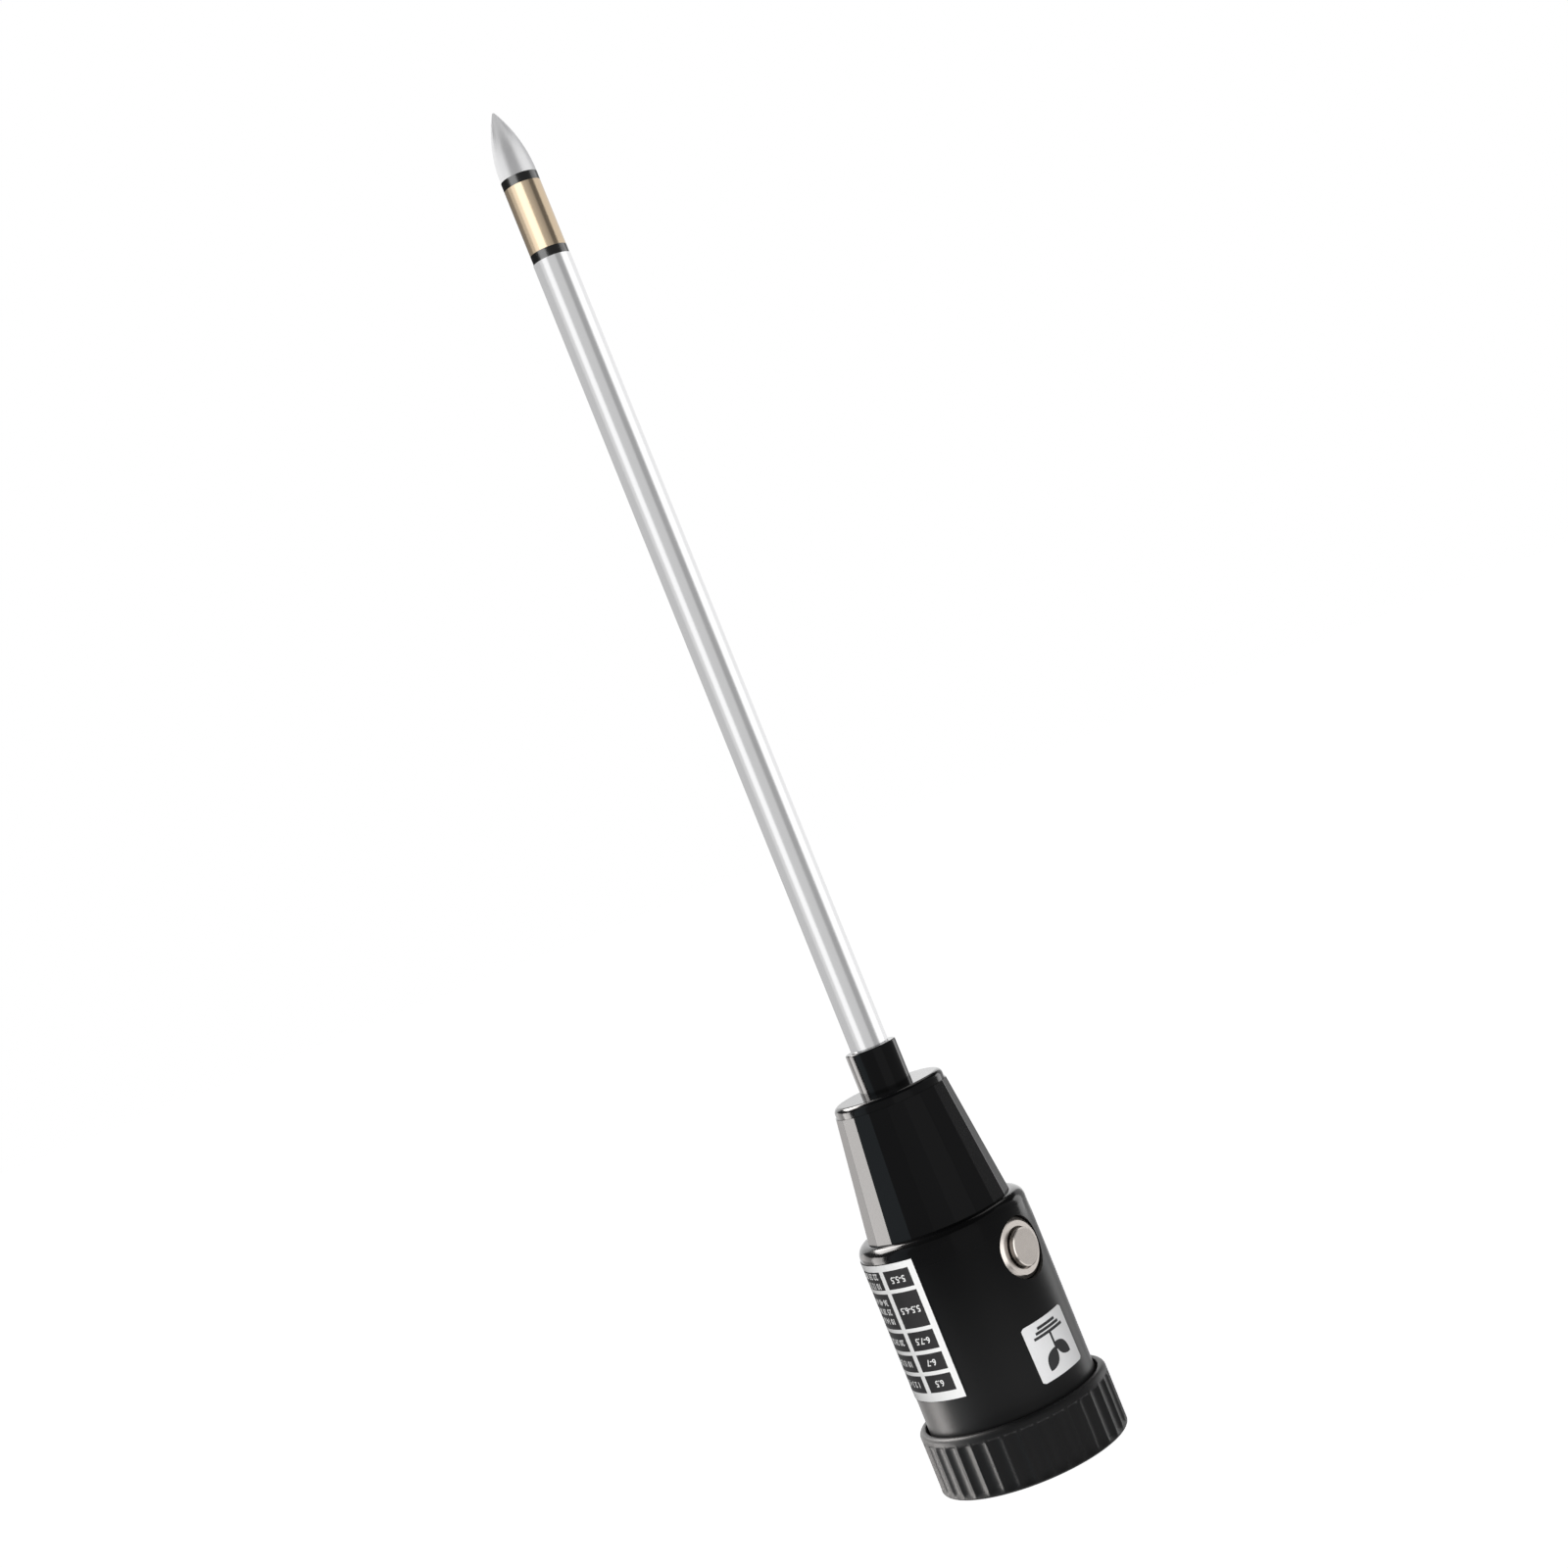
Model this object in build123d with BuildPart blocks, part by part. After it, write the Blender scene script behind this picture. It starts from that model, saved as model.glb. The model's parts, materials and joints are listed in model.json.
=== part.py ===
"""Soil moisture meter with an analog dial, a side push button and a long probe.

Millimetres. +Z runs along the probe to its tip. The origin is the centre of the bezel's rim,
the face that the meter stands on. An azimuth of 0 degrees is the -Y side, and 90 is the +X side.
"""

import os
from math import cos, pi, radians, sin

from build123d import *

os.makedirs("parts", exist_ok=True)

# Bezel, lens and seal
bezel_r = 25.0
bezel_height = 16.0
bezel_window_r = 20.3
bezel_bore_r = 22.65
bezel_lip_r = 23.1
bezel_lip_z = 12.5
lens_z = 1.6
flute_count = 36
flute_r = 3.8
flute_depth = 0.64
flute_z = (0.9, 13.8)
flute_angle = 2.0
lens_r = 22.3
gasket_z = 3.6

# Barrel
barrel_r = 22.35
barrel_z = (4.4, 65.0)
barrel_bore_r = 20.4
barrel_upper_bore_r = 19.0
ledge_z = 30.0
crown_z = 62.0
crown_bore_r = 16.5
shoulder_fillet = 3.0

# Cone, cap and collar
cone_sides = 20
cone_base_r = 19.15
cone_top_r = 15.0
cone_top_z = 96.8
cone_edge_angle = 11.0
cone_edge_fillet = 1.0
spigot_r = 16.4
spigot_z = 59.0
cap_r = 14.6
cap_top_z = 99.5
cap_spigot_r = 11.9
clamp_z = 93.5
collar_r = 6.725
collar_top_z = 110.6
collar_spigot_r = 6.0

# Probe
rod_r = 5.0
rod_bore_r = 4.0
rod_shank_r = 4.8
rod_shank_top_z = 110.9
rod_z = (87.0, 323.75)
ring_r = 4.82
ring_height = 2.4
electrode_height = 17.45
tip_length = 17.5
tip_nose_r = 0.35
stud_r = 2.0
sleeve_r = 2.6
lead_r = 0.45
lead_x = -3.2
turned_gap = 0.05

# Push button, on a radius of the barrel
button_azimuth = 49.0
button_z = 52.4
pocket_floor = 20.0
pocket_r = 7.85
boss_r = 6.9
boss_face = 17.0
flange_r = 7.6
flange_face = 21.4
sleeve_thread_r = 5.7
button_r = 4.87
button_face = 23.0
button_travel = 1.3
button_bore_r = 4.95
button_recess_r = 5.35
plunger_r = 1.5

# Meter movement, behind the dial
pivot_y = -6.0
pointer_angle = 45.0
dial_z = 8.0
dial_r = 20.3
needle_length = 21.0
yoke_r = (8.6, 11.0)
yoke_z = (13.5, 24.5)
core_r = 6.2
core_z = (14.4, 23.6)
staff_r = 0.4
bridge_reach = 9.8
case_r = 20.2

# Labels
label_gap = 0.02
label_thickness = 0.15
table_azimuth = (-150.0, -25.9)
table_z = (25.0, 61.3)
square_azimuth = (21.8, 60.7)
square_z = (20.6, 35.6)

# Heights that follow
lower_ring_z = rod_z[1]
electrode_z = lower_ring_z + ring_height
upper_ring_z = electrode_z + electrode_height
tip_z = upper_ring_z + ring_height - 0.1
tip_end_z = tip_z + tip_length


def save(builder, name):
    """Labels a finished piece and writes it as its own file."""
    builder.part.label = name
    export_step(builder.part, f"parts/{name}.step")


def side_plane(base):
    """The plane through a base plane's axis: its x is the radius and its y is the base's z."""
    return Plane(origin=base.origin, x_dir=base.x_dir, z_dir=-base.y_dir)


def turned(name, outline, base=Plane.XY):
    """A turned piece: the outline's points are (radius, height) on the base plane's axis."""
    with BuildPart() as piece:
        with BuildSketch(side_plane(base)):
            with BuildLine():
                Polyline(*outline, close=True)
            make_face()
        revolve(axis=Axis(base.origin, base.z_dir))
    save(piece, name)


def tube(name, outer_r, inner_r, low, high, base=Plane.XY, centre=(0, 0)):
    """A plain ring or sleeve."""
    with BuildPart() as piece:
        with BuildSketch(base.offset(low)):
            with Locations(centre):
                Circle(outer_r)
                Circle(inner_r, mode=Mode.SUBTRACT)
        extrude(amount=high - low)
    save(piece, name)


def hex_nut(name, flats, bore_r, low, high, centres=((0, 0),), base=Plane.XY):
    """Hexagonal nuts, across flats."""
    with BuildPart() as piece:
        with BuildSketch(base.offset(low)):
            with Locations(*centres):
                RegularPolygon(radius=flats / 2, side_count=6, major_radius=False)
                Circle(bore_r, mode=Mode.SUBTRACT)
        extrude(amount=high - low)
        chamfer(piece.edges().filter_by(GeomType.LINE).group_by(Axis(base.origin, base.z_dir))[-1], 0.2)
    save(piece, name)


def wrapped_label(name, azimuths, heights):
    """A thin sheet that follows the barrel between two azimuths."""
    start = radians(azimuths[0] - 90)
    inner = barrel_r + label_gap
    radial = Plane(origin=(0, 0, 0), x_dir=(cos(start), sin(start), 0), z_dir=(sin(start), -cos(start), 0))
    with BuildPart() as piece:
        with BuildSketch(radial):
            with Locations((inner, heights[0])):
                Rectangle(label_thickness, heights[1] - heights[0], align=(Align.MIN, Align.MIN))
        revolve(axis=Axis.Z, revolution_arc=azimuths[1] - azimuths[0])
    save(piece, name)


# ---------------------------------------------------------------- bezel, lens and seal

with BuildPart() as bezel_ring:
    with BuildSketch(Plane.XZ):
        with BuildLine():
            Polyline(
                (bezel_window_r, 0),
                (bezel_r, 0),
                (bezel_r, bezel_height),
                (bezel_lip_r, bezel_height),
                (bezel_lip_r, bezel_lip_z),
                (bezel_bore_r, bezel_lip_z),
                (bezel_bore_r, lens_z),
                (bezel_window_r, lens_z),
                close=True,
            )
        make_face()
    revolve(axis=Axis.Z)
    rims = bezel_ring.edges().filter_by(GeomType.CIRCLE)
    fillet(rims.group_by(Axis.Z)[-1].sort_by(SortBy.RADIUS)[-1], 1.3)
    rims = bezel_ring.edges().filter_by(GeomType.CIRCLE)
    fillet(rims.group_by(Axis.Z)[0].sort_by(SortBy.RADIUS)[-1], 0.5)
    rims = bezel_ring.edges().filter_by(GeomType.CIRCLE)
    chamfer(rims.group_by(Axis.Z)[0].sort_by(SortBy.RADIUS)[0], 0.6)
    with BuildSketch(Plane.XY.offset(flute_z[0])):
        with PolarLocations(bezel_r + flute_r - flute_depth, flute_count, start_angle=flute_angle):
            Circle(flute_r)
    extrude(amount=flute_z[1] - flute_z[0], mode=Mode.SUBTRACT)
save(bezel_ring, "bezel_ring")

with BuildPart() as dial_lens:
    with BuildSketch(Plane.XY.offset(lens_z)):
        Circle(lens_r)
    extrude(amount=gasket_z - lens_z)
    chamfer(dial_lens.edges().group_by(Axis.Z)[-1], 0.2)
save(dial_lens, "dial_lens")

tube("lens_gasket", lens_r, barrel_bore_r + 0.2, gasket_z, barrel_z[0])
tube("spacer_ring", barrel_bore_r - turned_gap, 19.0, barrel_z[0], dial_z)

# ---------------------------------------------------------------- barrel

across = radians(button_azimuth)
button_base = Plane(
    origin=(0, 0, button_z),
    x_dir=(cos(across), sin(across), 0),
    z_dir=(sin(across), -cos(across), 0),
)

with BuildPart() as barrel:
    with BuildSketch(Plane.XZ):
        with BuildLine():
            Polyline(
                (barrel_bore_r, barrel_z[0]),
                (barrel_r, barrel_z[0]),
                (barrel_r, barrel_z[1]),
                (crown_bore_r, barrel_z[1]),
                (crown_bore_r, crown_z),
                (barrel_upper_bore_r, crown_z),
                (barrel_upper_bore_r, ledge_z),
                (barrel_bore_r, ledge_z),
                close=True,
            )
        make_face()
    revolve(axis=Axis.Z)
    rims = barrel.edges().filter_by(GeomType.CIRCLE)
    fillet(rims.group_by(Axis.Z)[-1].sort_by(SortBy.RADIUS)[-1], shoulder_fillet)
    with BuildSketch(button_base.offset(boss_face)):
        Circle(boss_r)
    extrude(amount=pocket_floor - boss_face)
    with BuildSketch(button_base.offset(pocket_floor)):
        Circle(pocket_r)
    extrude(amount=bezel_r - pocket_floor, mode=Mode.SUBTRACT)
    with BuildSketch(button_base.offset(boss_face - 1)):
        Circle(sleeve_thread_r + 0.1)
    extrude(amount=pocket_floor - boss_face + 2, mode=Mode.SUBTRACT)
save(barrel, "barrel")

wrapped_label("table_label", table_azimuth, table_z)
wrapped_label("square_label", square_azimuth, square_z)

# ---------------------------------------------------------------- cone, cap and collar

with BuildPart() as faceted_cone:
    for height, corner_r in ((barrel_z[1], cone_base_r), (cone_top_z, cone_top_r)):
        with BuildSketch(Plane.XY.offset(height)) as facets:
            RegularPolygon(radius=corner_r, side_count=cone_sides, rotation=cone_edge_angle)
            fillet(facets.vertices(), cone_edge_fillet)
    loft()
    with BuildSketch(Plane.XY.offset(spigot_z)):
        Circle(spigot_r)
    extrude(amount=barrel_z[1] - spigot_z)
    with BuildSketch(Plane.XZ):
        with BuildLine():
            Polyline(
                (0, spigot_z - 1),
                (spigot_r - 1.8, spigot_z - 1),
                (spigot_r - 1.8, barrel_z[1] + 1.5),
                (cone_base_r - 2.55, barrel_z[1] + 3.5),
                (cone_top_r - 1.8, cone_top_z - 2),
                (cap_spigot_r + 0.1, cone_top_z - 2),
                (cap_spigot_r + 0.1, cone_top_z + 1),
                (0, cone_top_z + 1),
                close=True,
            )
        make_face()
    revolve(axis=Axis.Z, mode=Mode.SUBTRACT)
save(faceted_cone, "faceted_cone")

tube("cone_lock_ring", spigot_r + 1.5, spigot_r + turned_gap, crown_z - 2.6, crown_z)

with BuildPart() as cone_cap:
    with BuildSketch(Plane.XY.offset(cone_top_z)):
        Circle(cap_r)
    extrude(amount=cap_top_z - cone_top_z)
    fillet(cone_cap.edges().group_by(Axis.Z)[-1], 1.6)
    with BuildSketch(Plane.XY.offset(clamp_z)):
        Circle(cap_spigot_r)
    extrude(amount=cone_top_z - clamp_z)
    with BuildSketch(Plane.XY.offset(clamp_z)):
        Circle(collar_spigot_r + turned_gap)
    extrude(amount=cap_top_z - clamp_z, mode=Mode.SUBTRACT)
save(cone_cap, "cone_cap")

with BuildPart() as rod_collar:
    with BuildSketch(Plane.XY.offset(cap_top_z)):
        Circle(collar_r)
    extrude(amount=collar_top_z - cap_top_z)
    fillet(rod_collar.edges().group_by(Axis.Z)[-1], 0.35)
    with BuildSketch(Plane.XY.offset(clamp_z)):
        Circle(collar_spigot_r)
    extrude(amount=cap_top_z - clamp_z)
    with BuildSketch(Plane.XY.offset(clamp_z)):
        Circle(rod_shank_r + turned_gap)
    extrude(amount=collar_top_z - clamp_z, mode=Mode.SUBTRACT)
save(rod_collar, "rod_collar")

tube("rod_washer", 9.8, rod_shank_r + 0.1, clamp_z - 0.6, clamp_z)
hex_nut("rod_nut", 14.0, rod_shank_r + turned_gap, clamp_z - 4.6, clamp_z - 0.6)

# ---------------------------------------------------------------- probe

with BuildPart() as probe_rod:
    with BuildSketch(Plane.XY.offset(rod_z[0])):
        Circle(rod_shank_r)
    extrude(amount=rod_shank_top_z - rod_z[0])
    with BuildSketch(Plane.XY.offset(rod_shank_top_z)):
        Circle(rod_r)
    extrude(amount=rod_z[1] - rod_shank_top_z)
    with BuildSketch(Plane.XY.offset(rod_z[0])):
        Circle(rod_bore_r)
    extrude(amount=rod_z[1] - rod_z[0], mode=Mode.SUBTRACT)
save(probe_rod, "probe_rod")

with BuildPart() as rod_plug:
    with BuildSketch(Plane.XY.offset(rod_z[1] - 16)):
        Circle(rod_bore_r - turned_gap)
        Circle(stud_r + turned_gap, mode=Mode.SUBTRACT)
        with Locations((lead_x, 0)):
            Circle(lead_r + turned_gap, mode=Mode.SUBTRACT)
    extrude(amount=16)
save(rod_plug, "rod_plug")

with BuildPart() as insulator_lower:
    with BuildSketch(Plane.XY.offset(lower_ring_z)):
        Circle(ring_r)
        Circle(sleeve_r + turned_gap, mode=Mode.SUBTRACT)
        with Locations((lead_x, 0)):
            Circle(lead_r + turned_gap, mode=Mode.SUBTRACT)
    extrude(amount=ring_height)
save(insulator_lower, "insulator_lower")

with BuildPart() as brass_electrode:
    with BuildSketch(Plane.XY.offset(electrode_z)):
        Circle(ring_r)
        Circle(sleeve_r + turned_gap, mode=Mode.SUBTRACT)
    extrude(amount=electrode_height)
    with BuildSketch(Plane.XY.offset(electrode_z)):
        with Locations((lead_x, 0)):
            Circle(lead_r + 0.1)
    extrude(amount=3, mode=Mode.SUBTRACT)
save(brass_electrode, "brass_electrode")

tube("insulator_upper", ring_r, sleeve_r + turned_gap, upper_ring_z, tip_z)
tube("insulating_sleeve", sleeve_r, stud_r + turned_gap, lower_ring_z, tip_z)

with BuildPart() as tip_stud:
    with BuildSketch(Plane.XY.offset(rod_z[1] - 14)):
        Circle(stud_r)
    extrude(amount=tip_z + 9.4 - rod_z[1] + 14)
    chamfer(tip_stud.edges(), 0.4)
save(tip_stud, "tip_stud")

with BuildPart() as probe_tip:
    with BuildSketch(Plane.XZ):
        with BuildLine():
            base_line = Line((0, tip_z), (ring_r, tip_z))
            ogive = TangentArc(base_line @ 1, (tip_nose_r, tip_end_z - tip_nose_r / 2), tangent=(0, 1))
            nose = Line(ogive @ 1, (0, tip_end_z))
            Line(nose @ 1, (0, tip_z))
        make_face()
    revolve(axis=Axis.Z)
    with BuildSketch(Plane.XY.offset(tip_z)):
        Circle(stud_r + turned_gap)
    extrude(amount=9.6, mode=Mode.SUBTRACT)
save(probe_tip, "probe_tip")

# ---------------------------------------------------------------- push button and its switch

turned(
    "button_body",
    (
        (button_bore_r, flange_face - 1.2),
        (button_recess_r, flange_face - 1.2),
        (button_recess_r, flange_face),
        (flange_r - 0.9, flange_face),
        (flange_r, flange_face - 0.55),
        (flange_r, pocket_floor),
        (sleeve_thread_r, pocket_floor),
        (sleeve_thread_r, 8.5),
        (4.6, 8.5),
        (4.6, 13.0),
        (plunger_r + 0.1, 13.0),
        (plunger_r + 0.1, 15.5),
        (button_bore_r, 15.5),
    ),
    button_base,
)
turned(
    "button_cap",
    (
        (0, 10.3),
        (plunger_r, 10.3),
        (plunger_r, 18.8),
        (button_r, 18.8),
        (button_r, button_face - 0.35),
        (button_r - 0.35, button_face),
        (0, button_face),
    ),
    button_base,
)
tube("contact_bridge", 3.9, plunger_r + 0.02, 12.1, 12.9, button_base)
tube("button_washer", 6.5, sleeve_thread_r + turned_gap, boss_face - 0.8, boss_face, button_base)
hex_nut("button_nut", 13.0, sleeve_thread_r + turned_gap, boss_face - 3.6, boss_face - 0.8, base=button_base)

spring_start = button_base.offset(15.8).origin

with BuildPart() as button_spring:
    with BuildLine():
        coil = Helix(pitch=0.8, height=2.7, radius=3.1, center=spring_start, direction=button_base.z_dir)
    with BuildSketch(Plane(origin=coil @ 0, z_dir=coil % 0)):
        Circle(0.22)
    sweep(path=coil, is_frenet=True)
save(button_spring, "button_spring")

contact_spots = ((2.8, 0), (-2.8, 0))
contact_length = 7.75

with BuildPart() as switch_base:
    with BuildSketch(button_base.offset(6.5)):
        Circle(sleeve_thread_r)
        with Locations(*contact_spots):
            Circle(0.7 + turned_gap, mode=Mode.SUBTRACT)
    extrude(amount=2.0)
save(switch_base, "switch_base")

with BuildPart() as switch_contacts:
    with BuildSketch(button_base.offset(3.0)):
        with Locations(*contact_spots):
            Circle(0.7)
    extrude(amount=contact_length)
save(switch_contacts, "switch_contacts")

# ---------------------------------------------------------------- meter movement

pivot = (0, pivot_y)
bridge_spots = ((bridge_reach, pivot_y), (-bridge_reach, pivot_y))
stake_spots = ((0, pivot_y + bridge_reach), (0, pivot_y - bridge_reach))
dial_screw_spots = ((15.3, -4.5), (-15.3, -4.5))
terminal_spots = ((8.0, 9.0), (-8.0, 9.0))
case_floor_z = ledge_z - 1.5

with BuildPart() as dial_plate:
    with BuildSketch(Plane.XY.offset(dial_z)):
        Circle(dial_r)
        with Locations(pivot):
            Circle(1.5, mode=Mode.SUBTRACT)
        with Locations(*dial_screw_spots):
            Circle(1.1, mode=Mode.SUBTRACT)
    extrude(amount=0.6)
save(dial_plate, "dial_plate")

with BuildPart() as dial_screws:
    with BuildSketch(Plane.XY.offset(dial_z - 1.0)):
        with Locations(*dial_screw_spots):
            Circle(1.9)
    extrude(amount=1.0)
    with BuildSketch(Plane.XY.offset(dial_z)):
        with Locations(*dial_screw_spots):
            Circle(1.0)
    extrude(amount=6.0)
    with BuildSketch(Plane.XY.offset(dial_z - 1.0)):
        with Locations(*dial_screw_spots):
            Rectangle(4.0, 0.5)
    extrude(amount=0.5, mode=Mode.SUBTRACT)
save(dial_screws, "dial_screws")

with BuildPart() as movement_case:
    with BuildSketch(Plane.XY.offset(dial_z + 0.6)):
        Circle(case_r)
    extrude(amount=ledge_z - dial_z - 0.6)
    with BuildSketch(Plane.XY.offset(dial_z + 0.6)):
        Circle(case_r - 1.5)
    extrude(amount=case_floor_z - dial_z - 0.6, mode=Mode.SUBTRACT)
    with BuildSketch(Plane.XY.offset(dial_z + 0.6)):
        with Locations(*dial_screw_spots):
            Circle(2.4)
    extrude(amount=case_floor_z - dial_z - 0.6)
    with BuildSketch(Plane.XY.offset(dial_z + 0.6)):
        with Locations(*dial_screw_spots):
            Circle(1.0 + turned_gap)
    extrude(amount=7.0, mode=Mode.SUBTRACT)
    with BuildSketch(Plane.XY.offset(yoke_z[1])):
        with Locations(*stake_spots):
            Circle(1.3)
    extrude(amount=case_floor_z - yoke_z[1])
    with BuildSketch(Plane.XY.offset(yoke_z[1] - 2.4)):
        with Locations(*stake_spots):
            Circle(0.8)
    extrude(amount=2.4)
    with BuildSketch(Plane.XY.offset(case_floor_z)):
        with Locations(*terminal_spots):
            Circle(1.5 + turned_gap)
    extrude(amount=1.5, mode=Mode.SUBTRACT)
save(movement_case, "movement_case")

with BuildPart() as yoke_ring:
    with BuildSketch(Plane.XY.offset(yoke_z[0])):
        with Locations(pivot):
            Circle(yoke_r[1])
            Circle(yoke_r[0], mode=Mode.SUBTRACT)
        with Locations(*bridge_spots):
            Circle(0.75, mode=Mode.SUBTRACT)
        with Locations(*stake_spots):
            Circle(0.8 + turned_gap, mode=Mode.SUBTRACT)
    extrude(amount=yoke_z[1] - yoke_z[0])
save(yoke_ring, "yoke_ring")

with BuildPart() as core_magnet:
    with BuildSketch(Plane.XY.offset(core_z[0])):
        with Locations(pivot):
            Circle(core_r)
    extrude(amount=core_z[1] - core_z[0])
    chamfer(core_magnet.edges(), 0.3)
save(core_magnet, "core_magnet")

with BuildPart() as core_supports:
    with BuildSketch(Plane.XY.offset(17)):
        with Locations(pivot):
            Rectangle(2 * yoke_r[1], 2.4)
            Circle(core_r + turned_gap, mode=Mode.SUBTRACT)
    extrude(amount=4)
    with BuildSketch(Plane.XY.offset(17)):
        with Locations(pivot):
            Circle(yoke_r[1] + 2)
            Circle(yoke_r[0] - turned_gap, mode=Mode.SUBTRACT)
    extrude(amount=4, mode=Mode.SUBTRACT)
save(core_supports, "core_supports")


def bridge(name, low, high, foot, post):
    """A bar across the yoke with two feet, a bore for the jewel and a post for the hairspring's end."""
    with BuildPart() as piece:
        with BuildSketch(Plane.XY.offset(low)):
            with Locations(pivot):
                SlotOverall(2 * bridge_reach + 5, 5)
        extrude(amount=high - low)
        with BuildSketch(Plane.XY.offset(min(foot))):
            with Locations(*bridge_spots):
                Circle(1.3)
        extrude(amount=max(foot) - min(foot))
        with BuildSketch(Plane.XY.offset(min(post))):
            with Locations((5.7, pivot_y)):
                Circle(0.35)
        extrude(amount=max(post) - min(post))
        with BuildSketch(Plane.XY.offset(min(low, *foot))):
            with Locations(*bridge_spots):
                Circle(0.75)
        extrude(amount=max(high, *foot) - min(low, *foot), mode=Mode.SUBTRACT)
        with BuildSketch(Plane.XY.offset(low)):
            with Locations(pivot):
                Circle(1.2 + turned_gap)
        extrude(amount=high - low, mode=Mode.SUBTRACT)
    save(piece, name)


bridge("front_bridge", 9.6, 11.0, (11.0, yoke_z[0]), (11.0, 11.9))
bridge("rear_bridge", 26.2, 27.4, (yoke_z[1], 26.2), (25.6, 26.2))

with BuildPart() as jewel_bearings:
    for height, depth in ((9.6, 1.4), (26.2, 1.2)):
        with BuildSketch(Plane.XY.offset(height)):
            with Locations(pivot):
                Circle(1.2)
                Circle(staff_r + turned_gap, mode=Mode.SUBTRACT)
        extrude(amount=depth)
save(jewel_bearings, "jewel_bearings")

with BuildPart() as bridge_screws:
    for head_z, shank_z in (((8.75, 9.6), (9.6, 15.0)), ((27.4, 28.3), (23.0, 27.4))):
        for radius, span in ((1.4, head_z), (0.7, shank_z)):
            with BuildSketch(Plane.XY.offset(span[0])):
                with Locations(*bridge_spots):
                    Circle(radius)
            extrude(amount=span[1] - span[0])
save(bridge_screws, "bridge_screws")

needle_way = radians(pointer_angle)
needle_dir = (cos(needle_way), sin(needle_way), 0)
coil_side = Plane(origin=(0, pivot_y, 19.0), x_dir=needle_dir, z_dir=(sin(needle_way), -cos(needle_way), 0))


def coil_loop(name, outer, inner, width):
    """A rectangular loop round the core, in the needle's plane. Sizes are half reaches."""
    with BuildPart() as piece:
        with BuildSketch(coil_side):
            Rectangle(2 * outer[0], 2 * outer[1])
            Rectangle(2 * inner[0], 2 * inner[1], mode=Mode.SUBTRACT)
        extrude(amount=width / 2, both=True)
    save(piece, name)


coil_loop("coil_bobbin", (7.2, 5.5), (6.8, 5.1), 3.0)
coil_loop("coil_winding", (7.8, 6.1), (7.2, 5.5), 2.4)

with BuildPart() as pivot_staffs:
    for radius, low, high in ((staff_r, 6.0, 12.6), (1.1, 12.6, 12.9), (1.1, 25.1, 25.4), (staff_r, 25.4, 27.2)):
        with BuildSketch(Plane.XY.offset(low)):
            with Locations(pivot):
                Circle(radius)
        extrude(amount=high - low)
save(pivot_staffs, "pivot_staffs")

with BuildPart() as pointer:
    with BuildSketch(Plane(origin=(0, pivot_y, 6.2), x_dir=needle_dir, z_dir=(0, 0, 1))):
        with BuildLine():
            Polyline(
                (-6.0, -0.5),
                (2.0, -0.75),
                (needle_length, -0.15),
                (needle_length, 0.15),
                (2.0, 0.75),
                (-6.0, 0.5),
                close=True,
            )
        make_face()
        Circle(1.5)
        Circle(staff_r + 0.02, mode=Mode.SUBTRACT)
    extrude(amount=0.35)
save(pointer, "pointer")

with BuildPart() as balance_weight:
    with BuildSketch(Plane(origin=(0, pivot_y, 6.55), x_dir=needle_dir, z_dir=(0, 0, 1))):
        with Locations((-5.0, 0)):
            Circle(0.9)
    extrude(amount=0.8)
save(balance_weight, "balance_weight")


def hairspring(name, low):
    """A flat spiral ribbon round the staff, drawn in about four turns."""
    turns = 4
    steps = 14 * turns
    start_r = 0.8
    growth = (5.2 - start_r) / steps

    def spiral(offset):
        turn = 2 * pi * turns / steps
        reach = [start_r + offset + growth * k for k in range(steps + 1)]
        return [(r * cos(turn * k), r * sin(turn * k)) for k, r in enumerate(reach)]

    with BuildPart() as piece:
        with BuildSketch(Plane(origin=(0, pivot_y, low), z_dir=(0, 0, 1))):
            with BuildLine():
                inner = Spline(*spiral(-0.07))
                outer = Spline(*spiral(0.07))
                Line(inner @ 0, outer @ 0)
                Line(inner @ 1, outer @ 1)
            make_face()
        extrude(amount=0.25)
    save(piece, name)


hairspring("hairspring_front", 11.6)
hairspring("hairspring_rear", 25.65)

# ---------------------------------------------------------------- circuit and wiring

board_z = 32.4
board_top = board_z + 1.6

with BuildPart() as meter_terminals:
    for radius, low, high in ((2.6, case_floor_z - 1.2, case_floor_z), (1.5, case_floor_z, 38.0)):
        with BuildSketch(Plane.XY.offset(low)):
            with Locations(*terminal_spots):
                Circle(radius)
        extrude(amount=high - low)
save(meter_terminals, "meter_terminals")

with BuildPart() as terminal_nuts:
    for low in (ledge_z, board_top):
        with BuildSketch(Plane.XY.offset(low)):
            with Locations(*terminal_spots):
                RegularPolygon(radius=2.75, side_count=6, major_radius=False)
                Circle(1.5 + turned_gap, mode=Mode.SUBTRACT)
        extrude(amount=2.4)
save(terminal_nuts, "terminal_nuts")

with BuildPart() as circuit_board:
    with BuildSketch(Plane.XY.offset(board_z)):
        Circle(17.0)
        with Locations(*terminal_spots):
            Circle(1.6, mode=Mode.SUBTRACT)
    extrude(amount=board_top - board_z)
save(circuit_board, "circuit_board")

with BuildPart() as trimmer:
    with BuildSketch(Plane.XY.offset(board_top)):
        with Locations((-8.0, -8.0)):
            Rectangle(6.6, 6.6)
    extrude(amount=3.8)
    with BuildSketch(Plane.XY.offset(board_top + 3.8)):
        with Locations((-8.0, -8.0)):
            Circle(2.2)
    extrude(amount=0.7)
    with BuildSketch(Plane.XY.offset(board_top + 4.1)):
        with Locations((-8.0, -8.0)):
            Rectangle(4.6, 0.6)
    extrude(amount=0.4, mode=Mode.SUBTRACT)
save(trimmer, "trimmer")

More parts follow.
